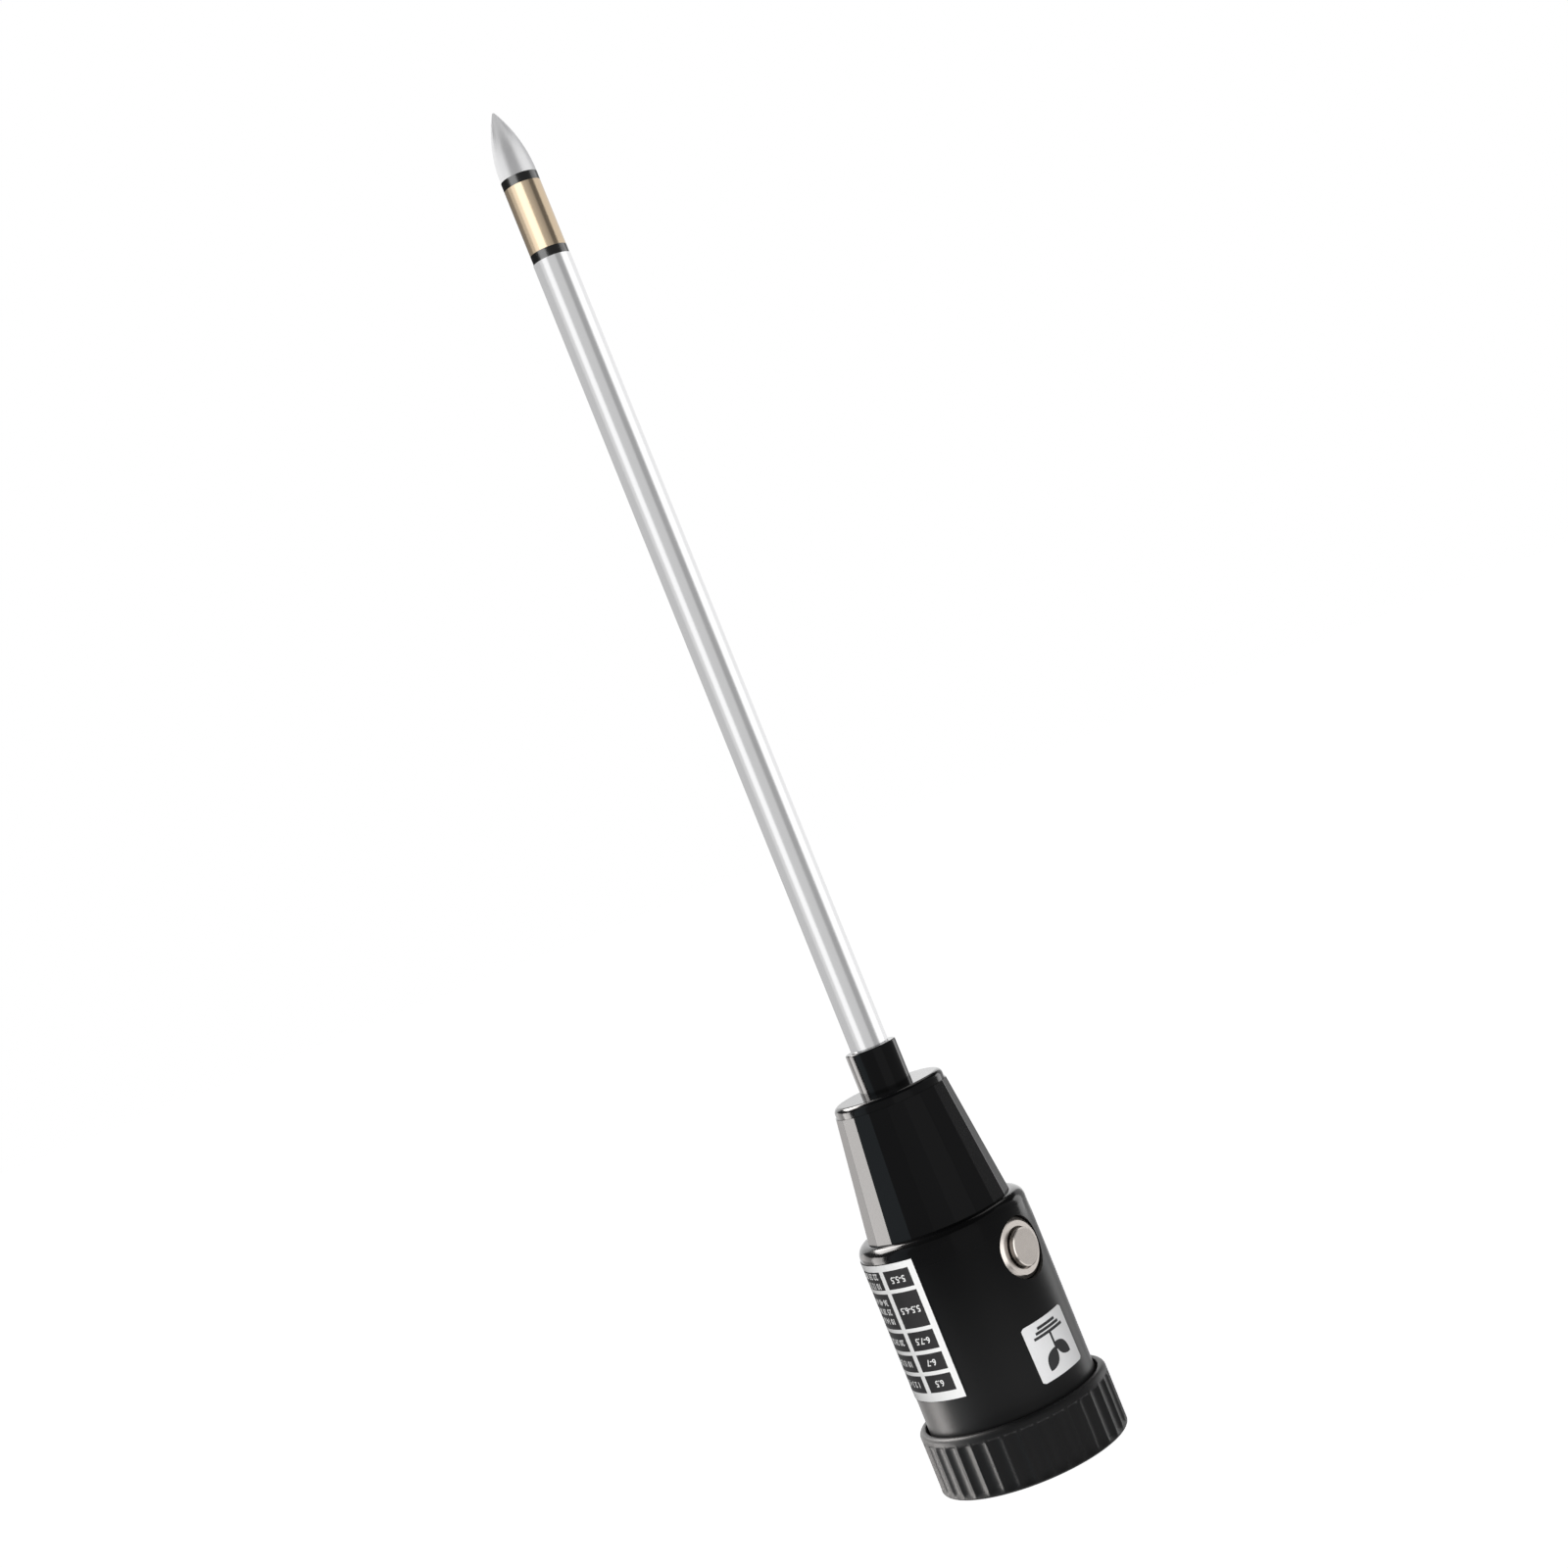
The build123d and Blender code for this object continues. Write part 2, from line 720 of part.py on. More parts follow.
with BuildPart() as resistors:
    for row in (-10.5, -6.5):
        with BuildSketch(Plane(origin=(2.0, row, board_top + 1.5), z_dir=(1, 0, 0))):
            Circle(1.2)
        extrude(amount=6.5)
        with BuildSketch(Plane(origin=(0.5, row, board_top + 1.5), z_dir=(1, 0, 0))):
            Circle(0.3)
        extrude(amount=9.5)
        for end in (0.8, 9.7):
            with BuildSketch(Plane.XY.offset(board_top)):
                with Locations((end, row)):
                    Circle(0.3)
            extrude(amount=1.5)
save(resistors, "resistors")


def straight_lead(name, place, low, high):
    """An insulated wire that runs straight along the meter."""
    with BuildPart() as piece:
        with BuildSketch(Plane.XY.offset(low)):
            with Locations(place):
                Circle(lead_r)
        extrude(amount=high - low)
    save(piece, name)


straight_lead("electrode_lead", (lead_x, 0), board_top, electrode_z + 2.5)
straight_lead("rod_lead", (-7.9, 4.7), board_top, clamp_z - 0.6)

with BuildPart() as switch_leads:
    for sideways, _ in contact_spots:
        plug = button_base.from_local_coords(Vector(sideways, 0, 3.0))
        bend = button_base.from_local_coords(Vector(sideways, 0, 0.4))
        foot = Vector(bend.X, bend.Y, board_top)
        with BuildLine():
            route = FilletPolyline(plug, bend, foot, radius=1.6)
        with BuildSketch(Plane(origin=route @ 0, z_dir=route % 0)):
            Circle(lead_r)
        sweep(path=route)
save(switch_leads, "switch_leads")
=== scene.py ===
"""Looks of the soil moisture meter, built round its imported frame.

Metres, in the frame's own place: the meter stands on its dial bezel, probe up along +Z.
An azimuth of 0 degrees is the front, -Y, and 90 is the +X side.
"""

import json
from math import cos, pi, radians, sin, sqrt, tan

import bmesh
import bpy
from mathutils import Matrix, Vector

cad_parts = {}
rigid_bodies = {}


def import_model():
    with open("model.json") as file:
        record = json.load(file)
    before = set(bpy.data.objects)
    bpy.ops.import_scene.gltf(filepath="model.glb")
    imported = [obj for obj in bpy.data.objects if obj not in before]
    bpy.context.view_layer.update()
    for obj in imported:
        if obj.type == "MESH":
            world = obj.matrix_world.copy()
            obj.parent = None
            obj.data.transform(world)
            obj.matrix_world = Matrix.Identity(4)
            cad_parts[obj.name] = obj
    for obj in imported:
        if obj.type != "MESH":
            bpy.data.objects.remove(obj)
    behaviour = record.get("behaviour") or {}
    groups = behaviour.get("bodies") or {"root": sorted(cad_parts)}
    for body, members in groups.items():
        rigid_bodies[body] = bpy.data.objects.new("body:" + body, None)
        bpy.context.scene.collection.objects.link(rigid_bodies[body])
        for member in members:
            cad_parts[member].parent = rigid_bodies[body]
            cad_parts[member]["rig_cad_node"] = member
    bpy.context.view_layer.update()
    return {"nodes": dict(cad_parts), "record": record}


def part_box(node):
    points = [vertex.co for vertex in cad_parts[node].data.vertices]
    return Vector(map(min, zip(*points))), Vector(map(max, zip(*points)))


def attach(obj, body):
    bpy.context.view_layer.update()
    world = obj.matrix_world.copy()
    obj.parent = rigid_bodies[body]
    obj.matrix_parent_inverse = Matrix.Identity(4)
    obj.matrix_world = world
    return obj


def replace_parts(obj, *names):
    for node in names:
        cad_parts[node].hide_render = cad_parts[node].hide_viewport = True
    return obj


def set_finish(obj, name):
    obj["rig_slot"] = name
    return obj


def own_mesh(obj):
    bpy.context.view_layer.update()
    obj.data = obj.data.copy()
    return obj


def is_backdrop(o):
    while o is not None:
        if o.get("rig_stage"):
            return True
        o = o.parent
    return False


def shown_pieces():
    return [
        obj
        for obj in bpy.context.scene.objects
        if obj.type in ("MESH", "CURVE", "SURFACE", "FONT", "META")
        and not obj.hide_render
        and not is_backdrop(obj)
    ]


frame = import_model()
nodes = frame["nodes"]
scene = bpy.context.scene
MM = 0.001


def direction(azimuth, lift=0.0):
    """A unit vector towards an azimuth and a height angle, both in degrees."""
    turn, rise = radians(azimuth), radians(lift)
    return Vector((sin(turn) * cos(rise), -cos(turn) * cos(rise), sin(rise)))


BUTTON_AZIMUTH = 49.0
BUTTON_HEIGHT = 52.4 * MM
BUTTON_OUT = direction(BUTTON_AZIMUTH)
BUTTON_SIDE = direction(BUTTON_AZIMUTH + 90.0)


# ------------------------------------------------------------------ node graphs

class Wire:
    """A value in a node graph. Sums written on it add Math nodes."""

    def __init__(self, graph, socket):
        self.graph = graph
        self.socket = socket

    def maths(self, operation, *values):
        return self.graph.node("ShaderNodeMath", {"operation": operation}, dict(enumerate(values)))

    def __add__(self, other):
        return self.maths("ADD", self, other)

    def __sub__(self, other):
        return self.maths("SUBTRACT", self, other)

    def __rsub__(self, other):
        return self.maths("SUBTRACT", other, self)

    def __mul__(self, other):
        return self.maths("MULTIPLY", self, other)

    def __truediv__(self, other):
        return self.maths("DIVIDE", self, other)

    def __rtruediv__(self, other):
        return self.maths("DIVIDE", other, self)

    def __pow__(self, other):
        return self.maths("POWER", self, other)

    def under(self, limit):
        return self.maths("LESS_THAN", self, limit)

    def over(self, limit):
        return self.maths("GREATER_THAN", self, limit)

    def sine(self):
        return self.maths("SINE", self)

    def cosine(self):
        return self.maths("COSINE", self)

    def root(self):
        return self.maths("SQRT", self)

    def fraction(self):
        return self.maths("FRACT", self)

    __radd__ = __add__
    __rmul__ = __mul__


class Graph:
    """A node tree with one way to add a node: its type, its settings, then its sockets."""

    def __init__(self, tree):
        self.tree = tree

    def node(self, kind, settings=None, inputs=None, output=0):
        made = self.tree.nodes.new(kind)
        for key, value in (settings or {}).items():
            setattr(made, key, value)
        for key, value in (inputs or {}).items():
            if isinstance(value, Wire):
                self.tree.links.new(value.socket, made.inputs[key])
            else:
                made.inputs[key].default_value = value
        return Wire(self, made.outputs[output])

    def along(self, vector, axis):
        """One coordinate of a vector: axis 0, 1 or 2."""
        return self.node("ShaderNodeSeparateXYZ", None, {0: vector}, output=axis)

    def eased(self, value, low, high):
        """0 below low, 1 above high, and smooth between."""
        return self.node("ShaderNodeMapRange", {"interpolation_type": "SMOOTHSTEP"},
                         {0: value, 1: low, 2: high})


class Finish(Graph):
    """A procedural material. Keywords set the shader's own sockets, underscores for spaces."""

    def __init__(self, name, **surface):
        self.material = bpy.data.materials.new(name)
        self.material.use_nodes = True
        super().__init__(self.material.node_tree)
        self.shader = next(n for n in self.tree.nodes if n.type == "BSDF_PRINCIPLED")
        for key, value in surface.items():
            self.shader.inputs[key.replace("_", " ").title().replace("Ior", "IOR")].default_value = value

    def place(self, scale=(1, 1, 1), shift=(0, 0, 0)):
        """Object coordinates, scaled and moved."""
        coords = self.node("ShaderNodeTexCoord", output="Object")
        return self.node("ShaderNodeMapping", {"vector_type": "POINT"},
                         {"Vector": coords, "Location": shift, "Scale": scale})

    def noise(self, vector, scale, detail=2.0, rough=0.5):
        return self.node("ShaderNodeTexNoise", None,
                         {"Vector": vector, "Scale": scale, "Detail": detail, "Roughness": rough})

    def blend(self, share, low, high):
        """A colour between two others."""
        return self.node("ShaderNodeMix", {"data_type": "RGBA"},
                         {0: share, 6: (*low, 1.0), 7: (*high, 1.0)}, output=2)

    def colour(self, wire):
        self.tree.links.new(wire.socket, self.shader.inputs["Base Color"])

    def rough(self, wire):
        self.tree.links.new(wire.socket, self.shader.inputs["Roughness"])

    def bump(self, height, depth):
        """depth is the relief's height in metres."""
        relief = self.node("ShaderNodeBump", None, {"Strength": 1.0, "Distance": depth, "Height": height})
        self.tree.links.new(relief.socket, self.shader.inputs["Normal"])


# ------------------------------------------------------------------ finishes

def moulded(name, tone, roughness, grain_size, relief):
    """Moulded plastic: fine spark-eroded grain, and slight clouding of colour and gloss."""
    f = Finish(name, metallic=0.0)
    grain = f.noise(f.place(), 1 / grain_size, 3.0, 0.6)
    cloud = f.noise(f.place(), 70.0, 2.0)
    dark = tuple(c * 0.82 for c in tone)
    light = tuple(c * 1.2 for c in tone)
    f.colour(f.blend(cloud * 0.7 + grain * 0.3, dark, light))
    f.rough(roughness - 0.05 + cloud * 0.06 + grain * 0.05)
    f.bump(grain, relief)
    return f.material


def barrel_black():
    """Moulded black, polished at the shoulder, with painted light that makes it greyer towards the foot."""
    f = Finish("black_body", metallic=0.0, specular_ior_level=0.32)
    grain = f.noise(f.place(), 1 / 0.00035, 3.0, 0.6)
    cloud = f.noise(f.place(), 70.0, 2.0)
    height = f.along(f.place(), 2)
    # painted light: the colour is lightened by height towards the foot, standing in for brighter light low on
    # the barrel
    painted_foot_light = 1.0 - f.eased(height + cloud * 0.004, 0.022, 0.064)
    f.colour(f.blend(painted_foot_light * 0.8 + cloud * 0.1 + grain * 0.1, (0.004, 0.004, 0.0045), (0.058, 0.058, 0.0585)))
    plain = 1.0 - f.eased(height, 0.0555, 0.0615)
    f.rough(0.12 + plain * 0.22 + cloud * 0.04 + grain * 0.02)
    f.bump(grain * plain, 4e-6)
    return f.material


def drawn_metal(name, tone, roughness, across, along, relief):
    """Metal with a lay: streaks are short across it and long along it (sizes in metres, x, y, z)."""
    f = Finish(name, metallic=1.0)
    lay = f.place(scale=tuple(1 / s for s in (across, across, along)))
    streak = f.noise(lay, 1.0, 4.0, 0.6)
    smudge = f.noise(f.place(), 160.0, 3.0)
    f.colour(f.blend(streak * 0.5 + smudge * 0.5, tuple(c * 0.93 for c in tone), tone))
    f.rough(roughness - 0.05 + streak * 0.06 + smudge * 0.06)
    f.bump(streak, relief)
    return f.material


def machined(name, tone, roughness=0.3):
    """Small cut or plated pieces: tool marks and uneven brightness."""
    f = Finish(name, metallic=1.0)
    marks = f.noise(f.place(scale=(1, 1, 6)), 2500.0, 3.0)
    stain = f.noise(f.place(), 400.0, 2.0)
    f.colour(f.blend(stain, tuple(c * 0.8 for c in tone), tone))
    f.rough(roughness - 0.08 + marks * 0.16)
    f.bump(marks, 2e-6)
    return f.material


def brushed_button():
    """Nickel-bronze with rings turned about the button's own axis."""
    f = Finish("button_metal", metallic=1.0)
    upright = f.place(shift=(0, 0, -BUTTON_HEIGHT))
    sideways = f.node("ShaderNodeVectorMath", {"operation": "DOT_PRODUCT"},
                      {0: upright, 1: BUTTON_SIDE}, output=1)
    height = f.along(upright, 2)
    reach = (sideways * sideways + height * height).root()
    rings = f.node("ShaderNodeTexNoise", {"noise_dimensions": "1D"},
                   {"W": reach, "Scale": 9000.0, "Detail": 3.0})
    smudge = f.noise(f.place(), 300.0, 2.0)
    # painted reflection: the cap's side wall is darkened in colour to stand in for the dark surroundings it
    # reflects
    painted_dark_wall = reach.over(4.72 * MM) * reach.under(5.2 * MM)
    face = reach.under(4.5 * MM)
    polish = rings * 0.18 + smudge * 0.12 + 0.72
    f.colour(f.blend(polish - painted_dark_wall * 0.7 - face * 0.24, (0.05, 0.045, 0.04), (0.92, 0.85, 0.79)))
    f.rough(0.22 + rings * 0.10 + smudge * 0.04)
    f.bump(rings, 4e-6)
    return f.material


def film(name, tone, roughness):
    """Printed label film: a flat tone with faint fibre and uneven gloss."""
    f = Finish(name, metallic=0.0, coat_roughness=0.12, coat_weight=0.3)
    fibre = f.noise(f.place(), 1800.0, 3.0)
    cloud = f.noise(f.place(), 120.0, 2.0)
    f.colour(f.blend(fibre * 0.5 + cloud * 0.5, tuple(c * 0.9 for c in tone), tone))
    f.rough(roughness - 0.04 + fibre * 0.08)
    f.bump(fibre, 1.5e-6)
    return f.material


def window():
    """Clear moulded window with the faintest haze."""
    f = Finish("clear_lens", metallic=0.0, transmission_weight=1.0, ior=1.49,
               base_color=(0.96, 0.98, 0.98, 1))
    haze = f.noise(f.place(), 90.0, 3.0)
    f.rough(haze * 0.03)
    return f.material


def seal():
    """Black rubber, matte with fine mould bloom."""
    f = Finish("rubber_seal", metallic=0.0, specular_ior_level=0.3)
    bloom = f.noise(f.place(), 900.0, 3.0)
    f.colour(f.blend(bloom, (0.012, 0.012, 0.012), (0.035, 0.035, 0.034)))
    f.rough(0.62 + bloom * 0.15)
    f.bump(bloom, 4e-6)
    return f.material


def board():
    """Solder mask over a lattice of fine tracks."""
    f = Finish("green_board", metallic=0.0, coat_weight=0.4)
    tracks = f.node("ShaderNodeTexBrick", {"offset": 0.5},
                    {"Vector": f.place(scale=(1, 1, 0)), "Scale": 260.0, "Mortar Size": 0.03,
                     "Color1": (0, 0, 0, 1), "Color2": (0, 0, 0, 1), "Mortar": (1, 1, 1, 1)})
    grain = f.noise(f.place(), 500.0, 2.0)
    f.colour(f.blend(tracks * 0.7 + grain * 0.3, (0.008, 0.075, 0.03), (0.03, 0.24, 0.09)))
    f.rough(0.3 + grain * 0.1)
    f.bump(tracks, 1e-5)
    return f.material


def insulation(name, tone):
    """Extruded wire insulation, with die lines along it."""
    f = Finish(name, metallic=0.0)
    lines = f.noise(f.place(scale=(3000, 3000, 60)), 1.0, 2.0)
    f.colour(f.blend(lines, tuple(c * 0.8 for c in tone), tone))
    f.rough(0.38 + lines * 0.12)
    f.bump(lines, 3e-6)
    return f.material


def banded(name, tone, bands):
    """Lacquered resistor bodies with printed bands across their length."""
    f = Finish(name, metallic=0.0, coat_weight=0.5)
    length = f.along(f.place(), 0)
    stripe = (length * 1000.0 * 0.8).fraction().over(0.62)
    grain = f.noise(f.place(), 900.0, 2.0)
    f.colour(f.blend(stripe * 0.9 + grain * 0.1, tone, bands))
    f.rough(0.3 + grain * 0.1)
    return f.material


FINISHES = {
    "black_body": barrel_black(),
    "black_bezel": moulded("black_bezel", (0.034, 0.034, 0.0345), 0.42, 0.00035, 5e-6),
    "black_gloss": moulded("black_gloss", (0.0045, 0.0048, 0.0055), 0.14, 0.0012, 1e-6),
    "black_insulator": moulded("black_insulator", (0.003, 0.003, 0.003), 0.24, 0.0003, 2e-6),
    "white_plastic": moulded("white_plastic", (0.62, 0.62, 0.60), 0.42, 0.0004, 3e-6),
    "blue_plastic": moulded("blue_plastic", (0.03, 0.10, 0.42), 0.38, 0.0004, 3e-6),
    "red_jewel": moulded("red_jewel", (0.45, 0.02, 0.06), 0.10, 0.0006, 1e-6),
    "clear_lens": window(),
    "rubber_seal": seal(),
    "dark_label": film("dark_label", (0.022, 0.021, 0.022), 0.34),
    "pale_label": film("pale_label", (0.78, 0.78, 0.785), 0.36),
    "white_dial": film("white_dial", (0.86, 0.86, 0.83), 0.5),
    "pointer_black": moulded("pointer_black", (0.012, 0.012, 0.012), 0.45, 0.0003, 2e-6),
    "rod_steel": drawn_metal("rod_steel", (0.86, 0.86, 0.865), 0.20, 0.00022, 0.05, 1e-6),
    "tip_steel": drawn_metal("tip_steel", (0.82, 0.82, 0.825), 0.36, 0.02, 0.00012, 1.5e-6),
    "electrode_brass": drawn_metal("electrode_brass", (0.93, 0.745, 0.53), 0.20, 0.02, 0.00012, 1.5e-6),
    "button_metal": brushed_button(),
    "brass_small": machined("brass_small", (0.82, 0.62, 0.32)),
    "steel_small": machined("steel_small", (0.70, 0.70, 0.71)),
    "soft_iron": machined("soft_iron", (0.42, 0.43, 0.45), 0.4),
    "magnet": machined("magnet", (0.20, 0.20, 0.21), 0.45),
    "bobbin_aluminium": machined("bobbin_aluminium", (0.78, 0.78, 0.80), 0.28),
    "copper_wire": machined("copper_wire", (0.72, 0.30, 0.14), 0.22),
    "spring_bronze": machined("spring_bronze", (0.78, 0.52, 0.28), 0.25),
    "green_board": board(),
    "resistor_tan": banded("resistor_tan", (0.55, 0.42, 0.26), (0.25, 0.05, 0.03)),
    "red_wire": insulation("red_wire", (0.55, 0.02, 0.02)),
    "black_wire": insulation("black_wire", (0.015, 0.015, 0.016)),
    "white_ink": film("white_ink", (0.90, 0.90, 0.89), 0.38),
    "dark_ink": film("dark_ink", (0.02, 0.02, 0.022), 0.42),
    "red_ink": film("red_ink", (0.62, 0.05, 0.03), 0.42),
    "green_ink": film("green_ink", (0.05, 0.38, 0.08), 0.42),
    "blue_ink": film("blue_ink", (0.04, 0.17, 0.55), 0.42),
}


def finish_frame():
    """Gives every CAD node the finish of its own material slot."""
    for row in frame["record"]["subparts"]:
        for place in nodes[row["node"]].material_slots:
            place.link = "OBJECT"
            place.material = FINISHES[row["material_slot"]]


finish_frame()


# ------------------------------------------------------------------ making pieces

def piece(name, mesh, body, slot, finish=None, sharp=32.0):
    """A finished piece: smooth but for its sharp edges, riding on its body."""
    made = bpy.data.objects.new(name, mesh)
    scene.collection.objects.link(made)
    mesh.shade_smooth()
    mesh.set_sharp_from_angle(angle=radians(sharp))
    mesh.materials.clear()
    mesh.materials.append(FINISHES[finish or slot])
    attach(made, body)
    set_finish(made, slot)
    return made


def grown(name, tree_name, build, sizes, base=None):
    """A plain mesh grown by a geometry node tree with named size inputs, from a base mesh or nothing."""
    tree = bpy.data.node_groups.new(tree_name, "GeometryNodeTree")
    tree.interface.new_socket("Geometry", in_out="INPUT", socket_type="NodeSocketGeometry")
    tree.interface.new_socket("Geometry", in_out="OUTPUT", socket_type="NodeSocketGeometry")
    for label, value in sizes.items():
        kind = "NodeSocketInt" if isinstance(value, int) else "NodeSocketFloat"
        tree.interface.new_socket(label, in_out="INPUT", socket_type=kind)
    graph = Graph(tree)
    entry = tree.nodes.new("NodeGroupInput")
    wires = {label: Wire(graph, entry.outputs[label]) for label in sizes}
    shape = build(graph, Wire(graph, entry.outputs["Geometry"]), wires)
    real = graph.node("GeometryNodeRealizeInstances", None, {"Geometry": shape})
    painted = graph.node("GeometryNodeSetMaterial", None,
                         {"Geometry": real, "Material": FINISHES["dark_ink"]})
    leave = tree.nodes.new("NodeGroupOutput")
    tree.links.new(painted.socket, leave.inputs["Geometry"])
    host = bpy.data.objects.new(name + "_host", base or bpy.data.meshes.new(name + "_host"))
    scene.collection.objects.link(host)
    growth = host.modifiers.new(tree_name, "NODES")
    growth.node_group = tree
    for item in tree.interface.items_tree:
        if item.in_out == "INPUT" and item.name in sizes:
            growth[item.identifier] = sizes[item.name]
    plain = bpy.data.meshes.new_from_object(host.evaluated_get(bpy.context.evaluated_depsgraph_get()))
    bpy.data.objects.remove(host)
    plain.name = name
    return plain


def mesh_of(name, bm, outward=True):
    """A plain mesh from a bmesh, with its faces turned outwards unless they already are."""
    if outward:
        bmesh.ops.recalc_face_normals(bm, faces=bm.faces)
    mesh = bpy.data.meshes.new(name)
    bm.to_mesh(mesh)
    bm.free()
    return mesh


def add_bar(bm, loops):
    """Closes a row of four-point loops into a solid."""
    for a, b in zip(loops, loops[1:]):
        for k in range(4):
            bm.faces.new((a[k], a[(k + 1) % 4], b[(k + 1) % 4], b[k]))
    bm.faces.new(loops[0][::-1])
    bm.faces.new(loops[-1])


def add_edge(bm, under, over):
    """The side wall between two outlines of the same number of points."""
    for k in range(len(under)):
        n = (k + 1) % len(under)
        bm.faces.new((under[k], under[n], over[n], over[k]))


def soften(points, radii, steps=6):
    """Rounds the corners of a closed outline, each by its own radius."""
    out = []
    count = len(points)
    for k, (corner, radius) in enumerate(zip(points, radii)):
        here = Vector(corner)
        if radius <= 0:
            out.append(here)
            continue
        back = (Vector(points[k - 1]) - here).normalized()
        ahead = (Vector(points[(k + 1) % count]) - here).normalized()
        half = back.angle(ahead) / 2
        start, end = here + back * (radius / tan(half)), here + ahead * (radius / tan(half))
        centre = here + (back + ahead).normalized() * (radius / sin(half))
        first, last = start - centre, end - centre
        sweep = first.angle(last)
        for s in range(steps + 1):
            share = s / steps
            arm = (first * sin((1 - share) * sweep) + last * sin(share * sweep)) / sin(sweep)
            out.append(centre + arm)
    return out


def lathe(name, outline, columns, first=0.0):
    """A closed ring turned from a closed outline of (radius, height) points."""
    bm = bmesh.new()
    rows = []
    for c in range(columns):
        turn = first + 2 * pi * c / columns
        rows.append([bm.verts.new((p[0] * cos(turn), p[0] * sin(turn), p[1])) for p in outline])
    for c in range(columns):
        this, following = rows[c], rows[(c + 1) % columns]
        for k in range(len(outline)):
            n = (k + 1) % len(outline)
            bm.faces.new((this[k], following[k], following[n], this[n]))
    return mesh_of(name, bm)


# ------------------------------------------------------------------ bezel

BEZEL_R = 25.0 * MM
BORE_R = 23.1 * MM
SEAT_R = 22.65 * MM
LIP_R = 20.3 * MM
SEAT_TOP = 12.5 * MM
LIP_TOP = 1.6 * MM
FLUTES = 36
WALL_LEVELS = 26


def cut_flutes(graph, shape, size):
    """Draws the outer wall in along round-bottomed flutes that run out at both ends."""
    position = graph.node("GeometryNodeInputPosition")
    x, y, z = (graph.along(position, axis) for axis in range(3))
    reach = (x * x + y * y).root()
    turn = reach.maths("ARCTAN2", y, x)
    pitch = 2 * pi / size["Flutes"]
    offset = (((turn - size["First Flute"]) / pitch + 0.5).fraction() - 0.5) * pitch
    centre = size["Bezel Radius"] + size["Flute Radius"] - size["Flute Depth"]
    aside = centre * offset.sine()
    floor = centre * offset.cosine() - (size["Flute Radius"] ** 2.0 - aside * aside).root()
    lowered = floor.maths("MAXIMUM", size["Bezel Radius"] - floor, 0.0)
    rise = graph.eased(z, size["Bottom"], size["Bottom"] + size["Run Out"])
    fall = 1.0 - graph.eased(z, size["Top"] - size["Run Out"], size["Top"])
    outer = reach.over(size["Bezel Radius"] - 0.0012)
    share = lowered * rise * fall * outer / reach
    inward = graph.node("ShaderNodeCombineXYZ", None, {0: x * share * -1.0, 1: y * share * -1.0})
    return graph.node("GeometryNodeSetPosition", None, {"Geometry": shape, "Offset": inward})


def bezel():
    """The fluted ring: plain foot lip, flutes, rounded top rim, and the lip that holds the window."""
    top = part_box("bezel_ring")[1].z
    corners = [
        (LIP_R, 0.0), (BEZEL_R, 0.0), (BEZEL_R, top), (BORE_R, top),
        (BORE_R, SEAT_TOP), (SEAT_R, SEAT_TOP), (SEAT_R, LIP_TOP), (LIP_R, LIP_TOP),
    ]
    radii = [r * MM for r in (0.6, 0.55, 1.35, 0.35, 0.1, 0.1, 0.1, 0.25)]
    outline = soften(corners, radii)
    wall = [k for k, p in enumerate(outline) if p[0] > BEZEL_R - 1e-7]
    foot, crown = min(outline[k][1] for k in wall), max(outline[k][1] for k in wall)
    extra = [Vector((BEZEL_R, foot + (crown - foot) * k / WALL_LEVELS)) for k in range(1, WALL_LEVELS)]
    at = max(k for k in wall if outline[k][1] <= foot + 1e-7) + 1
    outline[at:at] = extra
    base = lathe("bezel_blank", outline, FLUTES * 16, radians(7.0))
    mesh = grown("bezel_fluted", "bezel_flutes", cut_flutes, {
        "Flutes": FLUTES, "First Flute": radians(2.0), "Bezel Radius": BEZEL_R, "Flute Radius": 3.8 * MM,
        "Flute Depth": 0.66 * MM, "Bottom": 0.7 * MM, "Top": 14.2 * MM, "Run Out": 0.7 * MM,
    }, base)
    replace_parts(piece("bezel_fluted", mesh, "bezel", "black_bezel", sharp=28.0), "bezel_ring")


bezel()


# ------------------------------------------------------------------ printing on the barrel

BARREL_R = 22.35 * MM
FILM_OUT = BARREL_R + 0.15 * MM
INK = 0.02 * MM
READ_STEP = 0.8 * MM


def wrap(mesh, azimuth, height, tilt=0.0):
    """Wraps a flat print round the barrel. It reads upright when the probe points down."""
    c, s = cos(radians(tilt)), sin(radians(tilt))
    for v in mesh.vertices:
        x, y, out = v.co
        x, y = x * c - y * s, x * s + y * c
        a = radians(azimuth) - x / BARREL_R
        r = FILM_OUT + out
        v.co = (r * sin(a), -r * cos(a), height - y)
    mesh.update()
    return mesh


def slabs(name, boxes, low, high):
    """Flat bars as closed boxes, cut finely along x so that they can be wrapped."""
    bm = bmesh.new()
    for x0, x1, y0, y1 in boxes:
        columns = max(1, round((x1 - x0) / READ_STEP))
        loops = []
        for k in range(columns + 1):
            x = x0 + (x1 - x0) * k / columns
            square = ((x, y0, low), (x, y1, low), (x, y1, high), (x, y0, high))
            loops.append([bm.verts.new(p) for p in square])
        add_bar(bm, loops)
    return mesh_of(name, bm)


def sheet_of(name, width, height, corner, low, high):
    """A film with rounded corners, cut into narrow columns so that it can be wrapped."""
    columns = max(8, round(width / READ_STEP))
    bm = bmesh.new()
    loops = []
    for k in range(columns + 1):
        x = -width / 2 + width * k / columns
        lean = max(0.0, abs(x) - (width / 2 - corner))
        y = height / 2 - (corner - sqrt(max(0.0, corner * corner - lean * lean)))
        loops.append([bm.verts.new(p) for p in ((x, -y, low), (x, y, low), (x, y, high), (x, -y, high))])
    add_bar(bm, loops)
    return mesh_of(name, bm)


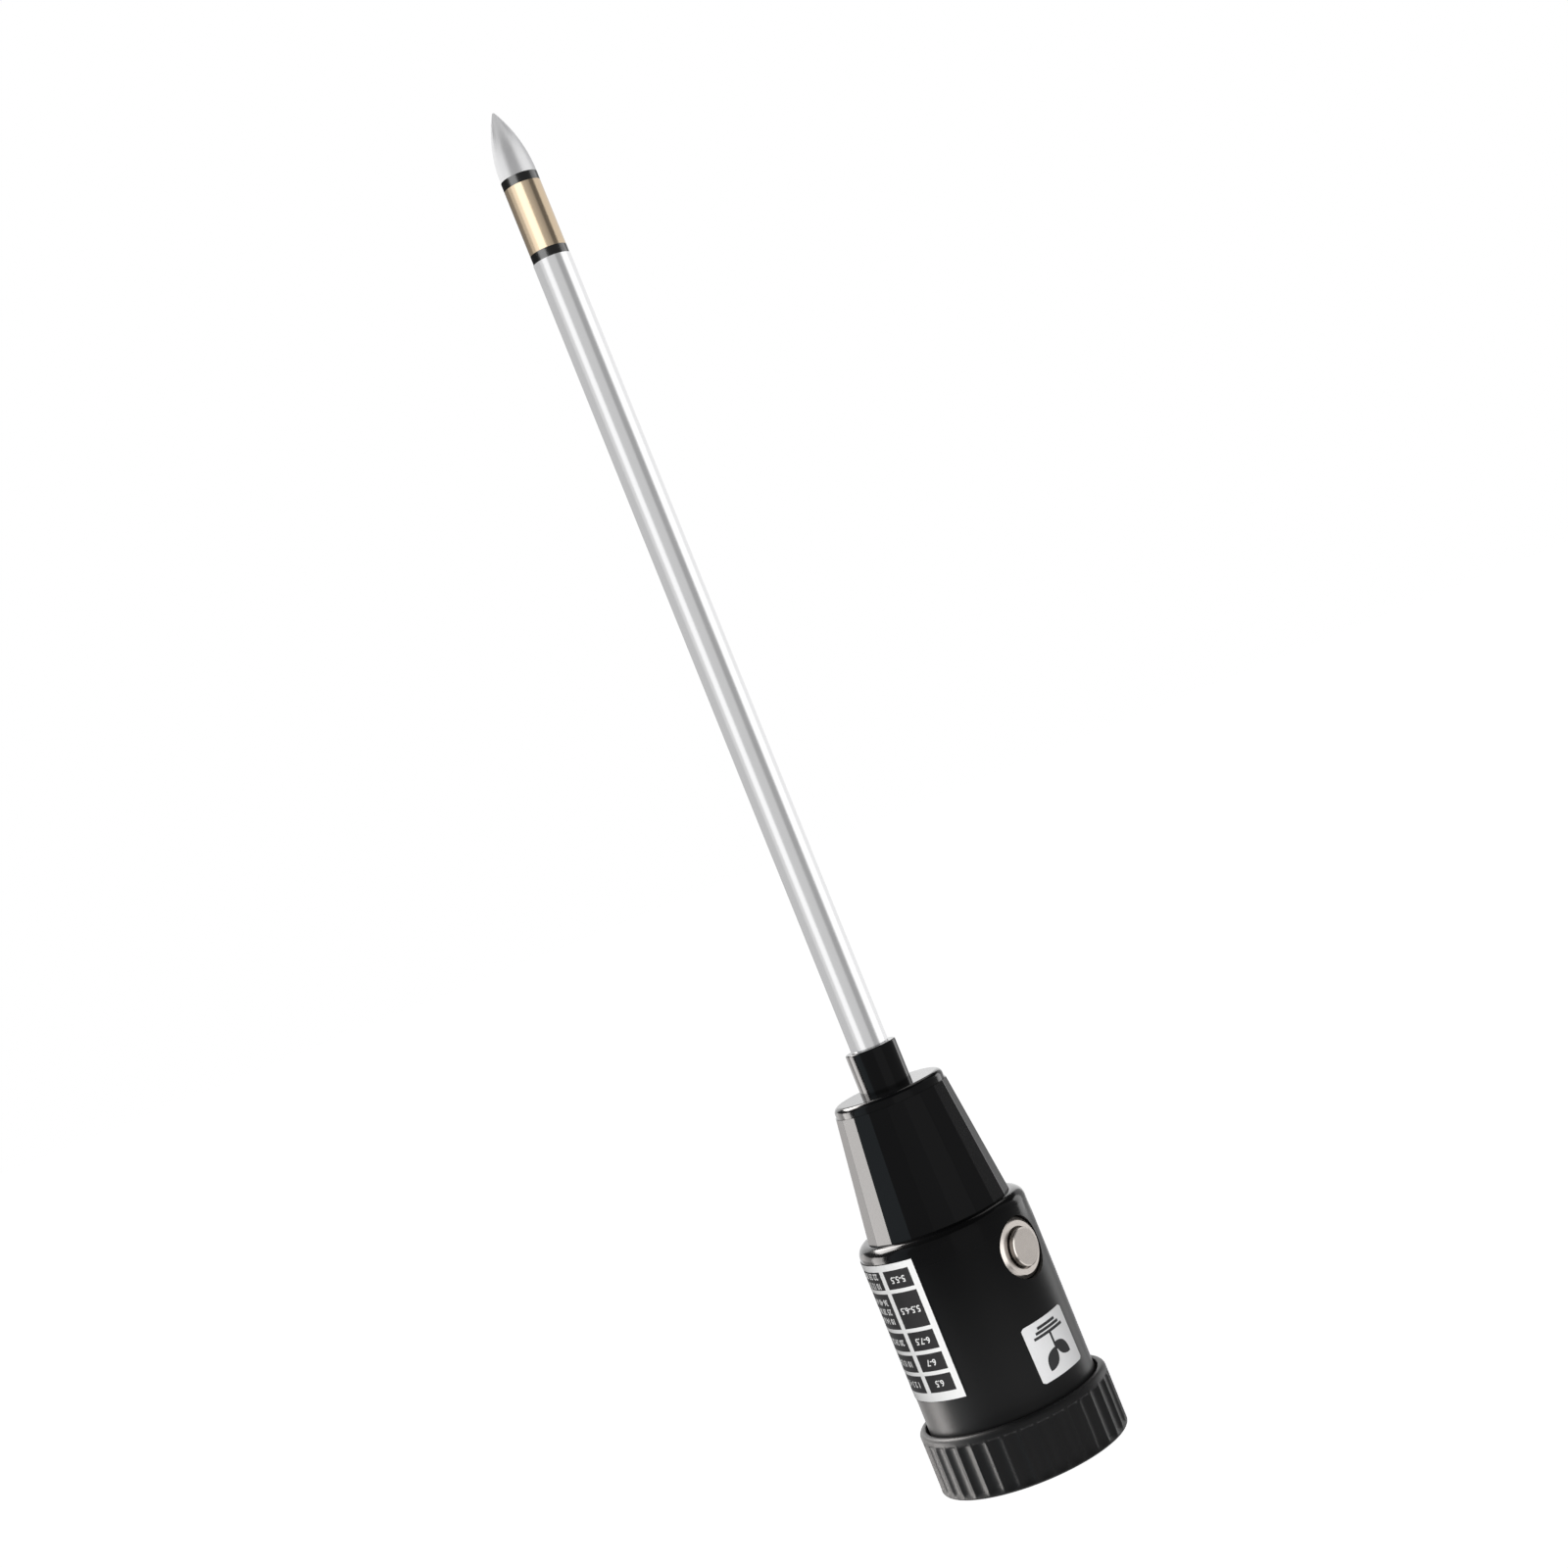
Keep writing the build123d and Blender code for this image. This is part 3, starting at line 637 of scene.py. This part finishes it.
def figures(name, entries):
    """Numbers as thin raised ink: entries are (text, x, y, height of a figure)."""
    joined = bmesh.new()
    for text, x, y, tall in entries:
        curve = bpy.data.curves.new(name, "FONT")
        curve.body = text
        curve.align_x = "CENTER"
        curve.align_y = "CENTER"
        curve.size = tall / 0.7
        curve.extrude = INK / 2
        curve.offset = 0.035 * MM
        curve.resolution_u = 3
        host = bpy.data.objects.new(name, curve)
        scene.collection.objects.link(host)
        flat = bpy.data.meshes.new_from_object(host.evaluated_get(bpy.context.evaluated_depsgraph_get()))
        bpy.data.objects.remove(host)
        flat.transform(Matrix.Translation((x, y, INK / 2)))
        joined.from_mesh(flat)
        bpy.data.meshes.remove(flat)
    bmesh.ops.remove_doubles(joined, verts=joined.verts, dist=1e-7)
    return mesh_of(name, joined, outward=False)


TABLE_AZIMUTHS = (-150.0, -25.9)
TABLE_HEIGHTS = (25.0 * MM, 61.3 * MM)
ROW_HEIGHTS = tuple(row * MM for row in (4.8, 9.4, 4.9, 4.5, 4.5))
ROW_LINE = 1.0 * MM
ROW_FIRST = 1.8 * MM
COLUMN_EDGE = 1.87 * MM
COLUMN_FIRST = 8.46 * MM
COLUMN_LINE = 1.6 * MM
BORDER_MARGIN = 0.12 * MM
FIGURE_LINE = 2.5 * MM
WIDE_COLUMNS = (8.2 * MM, 24.0 * MM)
FILM_DEPTH = 0.13 * MM
INK_FOOT = -0.01 * MM
FIRST_COLUMN = ("5-5.5", "5.5-6.5", "6-7.5", "6-7", "6.5")
WIDE_ROWS = (
    ("10 12 15 18 20", "22 25 28 30 33"),
    ("10 14 16 20 24", "25 28 30 32 35", "36 40 44 48 50"),
    ("20 24 26 28 32",),
    ("10 15 20 25 30",),
    ("1 2 3 4 5 6 7 8",),
)


def table_frame(width, tall):
    """The table's border and rules as bars, and the middle of each row from the foot up."""
    left, right, bottom, top = -width / 2, width / 2, -tall / 2, tall / 2
    cell_left = left + COLUMN_EDGE + COLUMN_FIRST
    wide_left = cell_left + COLUMN_LINE
    low, high = bottom + BORDER_MARGIN, top - BORDER_MARGIN
    bars = [
        (left + BORDER_MARGIN, left + COLUMN_EDGE, low, high),
        (right - COLUMN_EDGE, right - BORDER_MARGIN, low, high),
        (cell_left, wide_left, low, high),
    ]
    spans = ((left + COLUMN_EDGE, cell_left), (wide_left, right - COLUMN_EDGE))
    middles = []
    level, depth, start = bottom, ROW_FIRST, low
    for cell in ROW_HEIGHTS:
        upper = level + depth
        bars += [(x0, x1, start, upper) for x0, x1 in spans]
        middles.append(upper + cell / 2)
        level = start = upper + cell
        depth = ROW_LINE
    bars += [(x0, x1, level, high) for x0, x1 in spans]
    return bars, middles, sum(spans[0]) / 2, wide_left


def table_label():
    """The printed table: pale border and rules on dark film, with figures in its cells."""
    azimuth = sum(TABLE_AZIMUTHS) / 2
    height = sum(TABLE_HEIGHTS) / 2
    width = radians(TABLE_AZIMUTHS[1] - TABLE_AZIMUTHS[0]) * BARREL_R
    tall = TABLE_HEIGHTS[1] - TABLE_HEIGHTS[0]
    back = sheet_of("table_film", width, tall, 0.6 * MM, -FILM_DEPTH, 0.0)
    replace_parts(piece("table_film", wrap(back, azimuth, height), "housing", "dark_label"), "table_label")
    bars, middles, narrow_middle, wide_left = table_frame(width, tall)
    entries = []
    for middle, first, lines in zip(middles, FIRST_COLUMN, WIDE_ROWS):
        entries.append((first, narrow_middle, middle, 1.65 * MM))
        for k, line in enumerate(lines):
            y = middle + ((len(lines) - 1) / 2 - k) * FIGURE_LINE
            entries += [(line, wide_left + x, y, 1.55 * MM) for x in WIDE_COLUMNS]
    rules = slabs("table_rules", bars, INK_FOOT, INK)
    piece("table_rules", wrap(rules, azimuth, height), "housing", "pale_label", "white_ink")
    digits = figures("table_figures", entries)
    piece("table_figures", wrap(digits, azimuth, height), "housing", "pale_label", "white_ink")


def outline_shape(name, loops):
    """Closed flat shapes, each a list of points, as thin raised ink, sliced so that they can be wrapped."""
    bm = bmesh.new()
    for points in loops:
        under = [bm.verts.new((x, y, INK_FOOT)) for x, y in points]
        over = [bm.verts.new((x, y, INK)) for x, y in points]
        bm.faces.new(under[::-1])
        bm.faces.new(over)
        add_edge(bm, under, over)
    reach = max(abs(v.co.x) for v in bm.verts)
    for k in range(-int(reach / READ_STEP), int(reach / READ_STEP) + 1):
        whole = bm.verts[:] + bm.edges[:] + bm.faces[:]
        bmesh.ops.bisect_plane(bm, geom=whole, plane_co=(k * READ_STEP + 1e-5, 0, 0), plane_no=(1, 0, 0))
    return mesh_of(name, bm)


def leaf(root, lean, length, width, steps=10):
    """A pointed leaf from its root, leaning from upright by lean degrees."""
    c, s = cos(radians(lean)), sin(radians(lean))
    side = [(width / 2 * sin(pi * k / steps) ** 0.8, length * k / steps) for k in range(steps + 1)]
    ring = side + [(-x, y) for x, y in side[-2:0:-1]]
    return [(root[0] + x * c + y * s, root[1] - x * s + y * c) for x, y in ring]


def square_label():
    """A small pale label with a plain seedling over lines of soil."""
    azimuth, height, tilt = 41.25, 28.1 * MM, 1.6
    width, tall = 15.1 * MM, 14.6 * MM
    back = sheet_of("seedling_film", width, tall, 0.5 * MM, -FILM_DEPTH, 0.0)
    wrap(back, azimuth, height, tilt)
    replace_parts(piece("seedling_film", back, "housing", "pale_label"), "square_label")
    stem = [(-0.35 * MM, -3.2 * MM), (0.35 * MM, -3.2 * MM), (0.3 * MM, 1.4 * MM), (-0.3 * MM, 1.4 * MM)]
    right_leaf = leaf((0.1 * MM, 0.6 * MM), 40, 6.2 * MM, 3.5 * MM)
    left_leaf = leaf((-0.1 * MM, -0.4 * MM), -46, 5.8 * MM, 3.3 * MM)
    soil = []
    for k in range(3):
        half, foot = (5.2 - k) * MM, (-3.8 - 1.05 * k) * MM
        soil.append((-half, half, foot, foot + 0.7 * MM))
    ink = outline_shape("seedling_print", [stem, right_leaf, left_leaf])
    lines = slabs("soil_print", soil, INK_FOOT, INK)
    piece("seedling_print", wrap(ink, azimuth, height, tilt), "housing", "pale_label", "dark_ink")
    piece("soil_print", wrap(lines, azimuth, height, tilt), "housing", "pale_label", "dark_ink")


table_label()
square_label()


# ------------------------------------------------------------------ dial

PIVOT_Y = -6.0 * MM
DIAL_FACE = Matrix(((-1, 0, 0, 0), (0, 1, 0, PIVOT_Y), (0, 0, -1, 8.0 * MM), (0, 0, 0, 1)))
SCALE_SWEEP = 90.0


def tick_arc(graph, shape, size):
    """Ticks on an arc about the pointer's pivot, from lower left round to lower right."""
    points = graph.node("GeometryNodeMeshLine", None, {"Count": size["Ticks"]})
    index = graph.node("GeometryNodeInputIndex")
    turn = size["Sweep"] * (index / (size["Ticks"] - 1.0) - 0.5)
    x, y = turn.sine() * size["Radius"], turn.cosine() * size["Radius"]
    spot = graph.node("ShaderNodeCombineXYZ", None, {0: x, 1: y, 2: size["Ink"] * 0.5})
    placed = graph.node("GeometryNodeSetPosition", None, {"Geometry": points, "Position": spot})
    edge = graph.node("ShaderNodeCombineXYZ", None, {0: size["Width"], 1: size["Length"], 2: size["Ink"]})
    tick = graph.node("GeometryNodeMeshCube", None, {"Size": edge})
    spin = graph.node("ShaderNodeCombineXYZ", None, {2: turn * -1.0})
    facing = graph.node("FunctionNodeEulerToRotation", None, {0: spin})
    return graph.node("GeometryNodeInstanceOnPoints", None,
                      {"Points": placed, "Instance": tick, "Rotation": facing})


def ticks(name, count, radius, length, width):
    """A row of printed ticks, with its sizes in millimetres."""
    mesh = grown(name, "tick_arc", tick_arc, {
        "Ticks": count, "Sweep": radians(SCALE_SWEEP), "Radius": radius * MM,
        "Length": length * MM, "Width": width * MM, "Ink": 2 * INK,
    })
    mesh.transform(DIAL_FACE)
    return piece(name, mesh, "housing", "white_dial", "dark_ink")


def arc_band(name, inner, outer, start, end, finish):
    """A printed band between two angles from the dial's top, clockwise, with its radii in millimetres."""
    steps = max(4, round((end - start) / 2))
    turns = [radians(start + (end - start) * k / steps) for k in range(steps + 1)]
    ring = [(outer * MM * sin(t), outer * MM * cos(t)) for t in turns]
    ring += [(inner * MM * sin(t), inner * MM * cos(t)) for t in turns[::-1]]
    bm = bmesh.new()
    count = len(turns)
    under = [bm.verts.new((x, y, -0.005 * MM)) for x, y in ring]
    over = [bm.verts.new((x, y, INK)) for x, y in ring]
    for k in range(count - 1):
        m = 2 * count - 1 - k
        bm.faces.new((under[k], under[k + 1], under[m - 1], under[m]))
        bm.faces.new((over[k], over[k + 1], over[m - 1], over[m]))
    add_edge(bm, under, over)
    mesh = mesh_of(name, bm)
    mesh.transform(DIAL_FACE)
    return piece(name, mesh, "housing", "white_dial", finish)


def scale_numbers(name, values, radius, tall):
    """Figures spaced evenly round a scale, with their sizes in millimetres."""
    count = len(values)
    entries = []
    for k, value in enumerate(values):
        turn = radians(SCALE_SWEEP * (k / (count - 1) - 0.5))
        entries.append((value, radius * MM * sin(turn), radius * MM * cos(turn), tall * MM))
    mesh = figures(name, entries)
    mesh.transform(DIAL_FACE)
    return piece(name, mesh, "housing", "white_dial", "dark_ink")


def dial_print():
    """Two numbered scales, with dry, moist and wet bands between them."""
    ticks("scale_main_ticks", 9, 19.6, 2.2, 0.32)
    ticks("scale_fine_ticks", 41, 20.1, 1.2, 0.14)
    ticks("inner_scale_ticks", 6, 14.2, 1.6, 0.28)
    arc_band("scale_arc", 18.35, 18.55, -45, 45, "dark_ink")
    arc_band("dry_band", 15.4, 16.9, -45, -15.5, "red_ink")
    arc_band("moist_band", 15.4, 16.9, -14.5, 14.5, "green_ink")
    arc_band("wet_band", 15.4, 16.9, 15.5, 45, "blue_ink")
    scale_numbers("scale_numbers", [str(k) for k in range(0, 9)], 22.5, 2.1)
    scale_numbers("inner_scale_numbers", [str(k) for k in range(8, 2, -1)], 12.0, 1.9)


dial_print()


# ------------------------------------------------------------------ moving coil winding

COIL_REACH = 7.78 * MM
COIL_AZIMUTH = 45.0


def stood(across, forward, spot):
    """Sets a piece up at a spot: its x lies across, its y upright and its z forward."""
    return Matrix((
        (across.x, 0, forward.x, spot.x), (across.y, 0, forward.y, spot.y), (0, 1, 0, spot.z), (0, 0, 0, 1),
    ))


def wind_coil(graph, shape, size):
    """Rectangular turns of wire laid side by side across the bobbin, in layers."""
    loop = graph.node("GeometryNodeCurvePrimitiveQuadrilateral", {"mode": "RECTANGLE"},
                      {"Width": size["Loop Width"], "Height": size["Loop Height"]})
    eased = graph.node("GeometryNodeFilletCurve", None, {"Curve": loop, "Radius": size["Corner"]})
    gauge = graph.node("GeometryNodeCurvePrimitiveCircle", {"mode": "RADIUS"},
                       {"Resolution": 6, "Radius": size["Wire Radius"]})
    turn = graph.node("GeometryNodeCurveToMesh", None, {"Curve": eased, "Profile Curve": gauge})
    start = graph.node("ShaderNodeCombineXYZ", None, {2: size["Span"] * -0.5})
    step = graph.node("ShaderNodeCombineXYZ", None, {2: size["Span"] / (size["Turns"] - 1.0)})
    line = graph.node("GeometryNodeMeshLine", None,
                      {"Count": size["Turns"], "Start Location": start, "Offset": step})
    return graph.node("GeometryNodeInstanceOnPoints", None, {"Points": line, "Instance": turn})


def coil():
    """The outer layer of the copper winding, one turn of wire beside the next."""
    low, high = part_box("coil_winding")
    half = (high - low) / 2
    mesh = grown("coil_turns", "coil_turns", wind_coil, {
        "Loop Width": 2 * COIL_REACH, "Loop Height": 2 * (half.z - 0.02 * MM), "Corner": 0.35 * MM,
        "Wire Radius": 0.09 * MM, "Span": 2.2 * MM, "Turns": 13,
    })
    mesh.transform(stood(direction(COIL_AZIMUTH + 90.0), direction(COIL_AZIMUTH), (low + high) / 2))
    piece("coil_turns", mesh, "needle", "copper_wire")


coil()


# ------------------------------------------------------------------ button spring

SPRING_FOOT = 15.8 * MM
SPRING_WIRE = 0.22 * MM


def coil_spring(graph, shape, size):
    """A round wire wound on a helix from z = 0 up."""
    path = graph.node("GeometryNodeCurveSpiral", None, {
        "Resolution": 40, "Rotations": size["Rotations"], "Start Radius": size["Radius"],
        "End Radius": size["Radius"], "Height": size["Height"],
    })
    gauge = graph.node("GeometryNodeCurvePrimitiveCircle", {"mode": "RADIUS"},
                       {"Resolution": 10, "Radius": size["Wire Radius"]})
    return graph.node("GeometryNodeCurveToMesh", None,
                      {"Curve": path, "Profile Curve": gauge, "Fill Caps": True})


def spring():
    """The button's return spring, a wire helix set behind the button."""
    foot = BUTTON_OUT * SPRING_FOOT + Vector((0, 0, BUTTON_HEIGHT))
    mesh = grown("button_spring_coil", "spring_coil", coil_spring, {
        "Rotations": 3.375, "Radius": 3.1 * MM, "Height": 2.7 * MM, "Wire Radius": SPRING_WIRE,
    })
    mesh.transform(stood(BUTTON_SIDE, BUTTON_OUT, foot))
    made = piece("button_spring_coil", mesh, "housing", "steel_small")
    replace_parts(made, "button_spring")
    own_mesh(made)


spring()


# ------------------------------------------------------------------ studio

def receivers(name, objects):
    """A collection that a light is kept to."""
    group = bpy.data.collections.new(name)
    for o in objects:
        group.objects.link(o)
    return group


WHITE = (1.0, 1.0, 1.0)
WARM = (1.0, 0.965, 0.94)
COOL = (0.80, 0.93, 1.0)

# Each set of pieces has its own softboxes: first azimuth, last azimuth and radiance, and where they
# differ from the usual, the colour and the heights of the top and the foot. None takes what is left.
SOFTBOXES = {
    "mouldings": (None, (
        (-118, -96, 7.6, WARM, 0.36), (-150, -118, 2.0, WARM, 0.3, -0.06), (-150, -118, 0.85, WARM, -0.06),
        (-180, -150, 1.2, WHITE, 0.6), (-84, -56, 0.32, COOL), (-56, 4, 0.12), (4, 44, 0.2), (44, 100, 0.13),
        (100, 120, 0.15), (120, 138, 1.8, WHITE, 0.5), (138, 160, 0.45, WHITE, 0.5),
        (160, 180, 1.4, WHITE, 0.6),
    )),
    "rod": ({"rod_steel"}, (
        (-180, -78, 0.56), (-78, -58, 0.72), (-58, -26, 1.12), (-26, 26, 0.62), (26, 60, 0.36), (60, 66, 0.7),
        (66, 108, 1.25), (108, 180, 0.92),
    )),
    "electrode": ({"electrode_brass"}, (
        (-180, -100, 0.18), (-100, -72, 0.5), (-72, -46, 0.95), (-46, 2, 1.5), (2, 30, 0.42), (30, 48, 0.33),
        (48, 82, 0.08), (82, 180, 0.68),
    )),
    "tip": ({"tip_steel"}, (
        (-180, -100, 1.0), (-100, -40, 0.95), (-40, 36, 0.38), (36, 110, 0.95), (110, 180, 0.6),
    )),
    "rings": ({"black_insulator"}, (
        (-180, -64, 0.05), (-64, -14, 6.2), (-14, 80, 0.3), (80, 128, 3.0), (128, 180, 0.5),
    )),
    "button": ({"button_metal"}, (
        (-180, -62, 0.06), (-62, -30, 0.7), (-30, 44, 1.5), (44, 100, 0.62), (100, 180, 0.8),
    )),
    "prints": ({"dark_label", "pale_label", "white_dial", "clear_lens"}, (
        (-180, -90, 0.15), (-90, -45, 0.3), (-45, 30, 2.3), (30, 90, 0.4), (90, 180, 0.3),
    )),
}

# Raised lamps beside the left shoulder and behind: azimuth, elevation, width, height and radiance.
HIGH_LIGHTS = ((-134, 44, 0.8, 0.46, 14.0), (178, 54, 1.0, 0.7, 0.7))
PANEL_DISTANCE = 1.1
LAMP_DISTANCE = 1.2
SHOULDER_Z = 60.0 * MM


def panel(name, group, first, last, radiance, colour=WHITE, high=1.3, low=-0.5):
    """A softbox that covers a span of azimuths, as seen from the meter."""
    middle, half = (first + last) / 2, radians((last - first) / 2)
    spot = direction(middle) * PANEL_DISTANCE + Vector((0, 0, (low + high) / 2))
    facing = Matrix.Rotation(radians(middle), 4, "Z") @ Matrix.Rotation(radians(90), 4, "X")
    softbox(name, spot, facing, 2 * PANEL_DISTANCE * tan(half), high - low, radiance, colour, group)


def softbox(name, spot, facing, width, height, radiance, colour=WHITE, group=None):
    """A rectangular lamp of even radiance, kept to one group of pieces or to none."""
    lamp = bpy.data.lights.new(name, "AREA")
    lamp.shape = "RECTANGLE"
    lamp.size = width
    lamp.size_y = height
    lamp.energy = radiance * pi * width * height
    lamp.color = colour
    made = bpy.data.objects.new(name, lamp)
    scene.collection.objects.link(made)
    made.matrix_world = Matrix.Translation(spot) @ facing
    made.visible_camera = False
    if group:
        made.light_linking.receiver_collection = group


def lights():
    """The softboxes round the meter, the raised lamps, and soft light on the tip and from below."""
    slot_of = {row["node"]: row["material_slot"] for row in frame["record"]["subparts"]}
    own = {o: slot_of.get(o.get("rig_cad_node"), o.get("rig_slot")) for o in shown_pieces()}
    taken = set().union(*(slots for slots, boxes in SOFTBOXES.values() if slots))
    groups = {}
    for name, (slots, boxes) in SOFTBOXES.items():
        members = [o for o, slot in own.items() if (slot in slots if slots else slot not in taken)]
        groups[name] = receivers(name, members)
        for k, box in enumerate(boxes):
            panel(f"{name}_{k}", groups[name], *box)
    for k, (azimuth, lift, width, height, radiance) in enumerate(HIGH_LIGHTS):
        aim = direction(azimuth, lift)
        facing = aim.to_track_quat("Z", "Y").to_matrix().to_4x4()
        spot = aim * LAMP_DISTANCE + Vector((0, 0, SHOULDER_Z))
        softbox(f"high_{k}", spot, facing, width, height, radiance, WARM, groups["mouldings"])
    softbox("tip_top", Vector((0, 0, 1.5)), Matrix.Identity(4), 2.2, 2.2, 0.6, WHITE, groups["tip"])
    softbox("under", Vector((0, 0, -0.8)), Matrix.Rotation(pi, 4, "X"), 1.6, 1.6, 0.9)


lights()


def floor():
    """A plain pale floor, nearly self-lit so that it meets the backdrop without a line."""
    bm = bmesh.new()
    bmesh.ops.create_grid(bm, x_segments=2, y_segments=2, size=6.0)
    mesh = mesh_of("floor", bm, outward=False)
    made = bpy.data.objects.new("floor", mesh)
    scene.collection.objects.link(made)
    f = Finish("floor_white", roughness=0.9, base_color=(0.85, 0.85, 0.85, 1))
    f.shader.inputs["Emission Color"].default_value = (1, 1, 1, 1)
    f.shader.inputs["Emission Strength"].default_value = 1.0
    clear = f.node("ShaderNodeBsdfTransparent")
    under = f.node("ShaderNodeNewGeometry", output="Backfacing")
    seen = f.node("ShaderNodeMixShader", None, {0: under, 1: Wire(f, f.shader.outputs[0]), 2: clear})
    end = next(n for n in f.tree.nodes if n.type == "OUTPUT_MATERIAL")
    f.tree.links.new(seen.socket, end.inputs["Surface"])
    mesh.materials.append(f.material)
    made.visible_glossy = False
    made.visible_diffuse = False
    made.visible_transmission = False
    made.visible_shadow = False
    made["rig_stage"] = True


def surroundings():
    """White where the camera looks past the meter, and dim for what the meter reflects."""
    world = bpy.data.worlds.new("studio")
    scene.world = world
    world.use_nodes = True
    g = Graph(world.node_tree)
    ground = next(n for n in world.node_tree.nodes if n.type == "BACKGROUND")
    straight = g.node("ShaderNodeLightPath", output="Is Camera Ray")
    level = g.node("ShaderNodeMix", {"data_type": "RGBA"},
                   {0: straight, 6: (0.05, 0.05, 0.052, 1), 7: (1, 1, 1, 1)}, output=2)
    world.node_tree.links.new(level.socket, ground.inputs["Color"])


def camera():
    """Level with the middle of the meter and rolled, so that the tip leans to the upper left."""
    roll = radians(22.0)
    lens = bpy.data.cameras.new("camera")
    lens.sensor_width = 36.0    # millimetres, as is the next
    lens.lens = 58.5
    made = bpy.data.objects.new("camera", lens)
    scene.collection.objects.link(made)
    right = Vector((cos(roll), 0, -sin(roll)))
    up = Vector((sin(roll), 0, cos(roll)))
    back = right.cross(up)
    eye = Vector((4.7 * MM, -640.0 * MM, 179.8 * MM))
    made.matrix_world = Matrix.Translation(eye) @ Matrix((right, up, back)).transposed().to_4x4()
    scene.camera = made


floor()
surroundings()
camera()
scene.view_settings.view_transform = "Standard"
